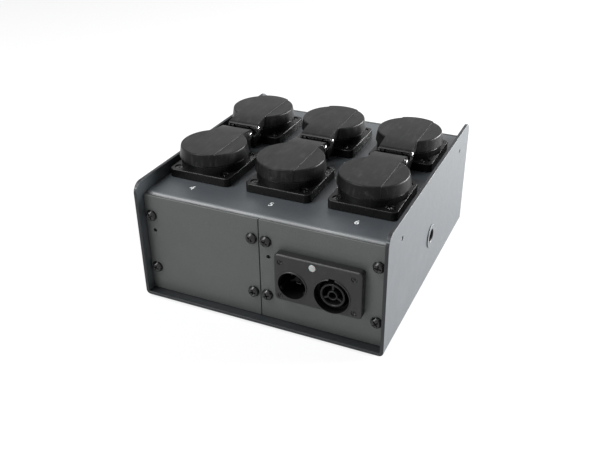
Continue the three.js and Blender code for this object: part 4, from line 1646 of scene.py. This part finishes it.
    def dress(self) -> None:
        """Finishes the connector's pieces and hangs them on the root."""
        s = self.sizes
        pieces = (
            (self.mesh_housing(), "twin_connector", Finish.CONNECTOR, "connector_plastic",
             "connector_housing"),
            (self.mesh_inlet(), "inlet_core", Finish.INSERT, "insert_plastic", "power_inlet_insert"),
            (self.mesh_outlet(), "outlet_core", Finish.OUTLET, "connector_plastic",
             "power_outlet_insert"),
            (self.mesh_lens(), "lamp_window", Finish.LENS, "lamp_lens", "indicator_lens"),
            # The inlet's plated blades take the darkened metal as painted shade deep in the well.
            (self.mesh_blades(), "inlet_blades", Finish.BLADE, "bright_steel", None),
        )
        for piece, name, finish, slot, node in pieces:
            piece.name = piece.data.name = name
            fit(piece, finish, slot=slot, replaces=node)
            if finish is Finish.CONNECTOR:
                # The faces inside the inlet's and the outlet's wells get the darker plastic as painted
                # shade in the recesses; the housing is one moulding.
                PAINT.coat_where(piece, Finish.WELL, self.in_well)
        head = Fasteners.countersunk("head", 2.0)
        for index, (x, z) in enumerate(s.screws):
            at, spin = (x, s.front + 0.7, z), 0.4 + index
            fit(Bench.copy(head, f"connector_screw_{index}", at, 0.0, Axis.FRONT, spin),
                Finish.BLACK_SCREW, slot="black_screw_steel")
        Bench.discard(head)


# ----------------------------------------------------------------------------------------------
# Printing and wiring
# ----------------------------------------------------------------------------------------------


class Markings:
    """The sockets' printed numerals, each row facing its own side of the box."""

    SIZE = 7.28
    COLUMNS = (-63.3, -0.2, 62.8)
    ROWS = {"123": (75.1, math.pi), "456": (-75.1, 0.0)}

    def dress(self) -> None:
        """Prints each numeral on the deck."""
        places = [(numeral, x, y, turn) for numerals, (y, turn) in self.ROWS.items()
                  for numeral, x in zip(numerals, self.COLUMNS)]
        for numeral, x, y, turn in places:
            Bench.clear()
            bpy.ops.object.text_add(location=(0, 0, 0))
            text = bpy.context.object
            text.data.body = numeral
            text.data.size = self.SIZE * MM
            text.data.align_x = text.data.align_y = "CENTER"
            text.data.extrude = 0.01 * MM
            text.data.offset = 0.03 * MM
            text.data.resolution_u = 8
            Bench.pick(text)
            bpy.ops.object.convert(target="MESH")
            text = bpy.context.object
            text.name = text.data.name = f"numeral_{numeral}"
            text.data.transform(Matrix.Translation(Vector((x, y, BOX.deck_top + 0.02)) * MM)
                                @ Matrix.Rotation(turn, 4, "Z"))
            fit(text, Finish.INK)


class Conductors:
    """The three conductors inside the box, which keep their frame meshes."""

    COLOURS = {"live_conductor": Finish.BROWN_WIRE, "neutral_conductor": Finish.BLUE_WIRE,
               "earth_conductor": Finish.EARTH_WIRE}

    def dress(self, nodes: dict[str, bpy.types.Object]) -> None:
        """Colours each conductor.

        Args:
            nodes: The frame's nodes, by name.
        """
        for name, finish in self.COLOURS.items():
            PAINT.coat(nodes[name], finish)


# ----------------------------------------------------------------------------------------------
# Studio
# ----------------------------------------------------------------------------------------------


@dataclass(frozen=True)
class Lamp:
    """A soft rectangular lamp aimed at the box."""

    name: str
    place: Point
    size: tuple[float, float]
    power: float

    def light(self, target: Vector) -> None:
        """Hangs the lamp and points it at a target.

        Args:
            target: Where it points, in metres.
        """
        data = bpy.data.lights.new(self.name, "AREA")
        data.shape = "RECTANGLE"
        data.size, data.size_y = self.size
        data.energy = self.power
        lamp = bpy.data.objects.new(self.name, data)
        bpy.context.scene.collection.objects.link(lamp)
        lamp.location = self.place
        lamp.rotation_euler = (target - lamp.location).to_track_quat("-Z", "Y").to_euler()


class Studio:
    """Pale floor and backdrop, soft lamps and the camera."""

    LAMPS = (
        Lamp("key", (-0.50, -0.42, 1.05), (0.6, 0.6), 14.0),
        Lamp("fill", (-0.75, -1.1, 0.55), (0.8, 0.6), 9.0),
        Lamp("side", (0.85, 0.70, 0.34), (0.9, 0.5), 50.0),
    )
    CAMERA = (0.21041, -0.48177, 0.32934)
    TARGET = (-0.00601, -0.00631, 0.03066)
    LIT = (0.0, 0.0, 0.05)
    LENS = 44.62
    ROLL = -0.53
    FLOOR = 12.0
    AMBIENT = 0.12
    GLOW = 1.0
    GLOW_SHARE = 0.8

    @staticmethod
    def seen(tree: bpy.types.NodeTree) -> bpy.types.NodeSocket:
        """Adds the nodes that tell rays of sight, mirroring and glass from rays that carry light.

        Args:
            tree: The node tree to add them to.

        Returns:
            The socket that reads 1 for the first kind and 0 for the second.
        """
        rays = tree.nodes.new("ShaderNodeLightPath")
        level = rays.outputs["Is Camera Ray"]
        for name in ("Is Glossy Ray", "Is Transmission Ray"):
            either = tree.nodes.new("ShaderNodeMath")
            either.operation = "MAXIMUM"
            tree.links.new(level, either.inputs[0])
            tree.links.new(rays.outputs[name], either.inputs[1])
            level = either.outputs[0]
        return level

    def paper(self) -> bpy.types.Material:
        """Makes the white paper, which glows to the camera but still takes the box's shadow.

        Returns:
            The material.
        """
        material = bpy.data.materials.new("white_paper")
        material.use_nodes = True
        tree = material.node_tree
        tree.nodes.clear()
        output = tree.nodes.new("ShaderNodeOutputMaterial")
        white = tree.nodes.new("ShaderNodeEmission")
        paper = tree.nodes.new("ShaderNodeBsdfDiffuse")
        paper.inputs["Color"].default_value = (0.86, 0.86, 0.87, 1.0)
        mix = tree.nodes.new("ShaderNodeMixShader")
        share = tree.nodes.new("ShaderNodeMath")
        share.operation = "MULTIPLY"
        share.inputs[1].default_value = self.GLOW_SHARE
        white.inputs["Strength"].default_value = self.GLOW
        tree.links.new(self.seen(tree), share.inputs[0])
        tree.links.new(share.outputs[0], mix.inputs["Fac"])
        tree.links.new(paper.outputs[0], mix.inputs[1])
        tree.links.new(white.outputs[0], mix.inputs[2])
        tree.links.new(mix.outputs[0], output.inputs["Surface"])
        return material

    def build(self) -> None:
        """Lays the paper, hangs the lamps and sets up the camera."""
        Bench.clear()
        bpy.ops.mesh.primitive_plane_add(size=self.FLOOR, location=(0, 0, 0))
        floor = bpy.context.object
        floor.name = "paper_floor"
        floor.data.materials.append(self.paper())
        world = bpy.data.worlds.new("white_room")
        world.use_nodes = True
        background = world.node_tree.nodes["Background"]
        level = world.node_tree.nodes.new("ShaderNodeMix")
        links = world.node_tree.links
        links.new(self.seen(world.node_tree), level.inputs["Factor"])
        level.inputs["A"].default_value = self.AMBIENT
        level.inputs["B"].default_value = 1.0
        links.new(level.outputs["Result"], background.inputs["Strength"])
        background.inputs["Color"].default_value = (1.0, 1.0, 1.0, 1.0)
        scene = bpy.context.scene
        scene.world = world
        scene.view_settings.view_transform = "Standard"
        for lamp in self.LAMPS:
            lamp.light(Vector(self.LIT))
        data = bpy.data.cameras.new("camera")
        data.lens, data.sensor_width = self.LENS, 36.0
        data.clip_start, data.clip_end = 0.01, 20.0
        camera = bpy.data.objects.new("camera", data)
        scene.collection.objects.link(camera)
        camera.location = self.CAMERA
        view = Vector(self.TARGET) - camera.location
        camera.rotation_euler = (view.to_track_quat("-Z", "Y").to_matrix()
                                 @ Matrix.Rotation(math.radians(self.ROLL), 3, "Z")).to_euler()
        scene.camera = camera


def main() -> None:
    """Builds the looks of the box on its frame."""
    logging.basicConfig(level=logging.INFO, format="%(name)s: %(message)s")
    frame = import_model()
    Enclosure().dress()
    Fasteners().dress()
    Socket().dress()
    Connector().dress()
    Markings().dress()
    Conductors().dress(frame["nodes"])
    Studio().build()


if __name__ == "__main__":
    main()
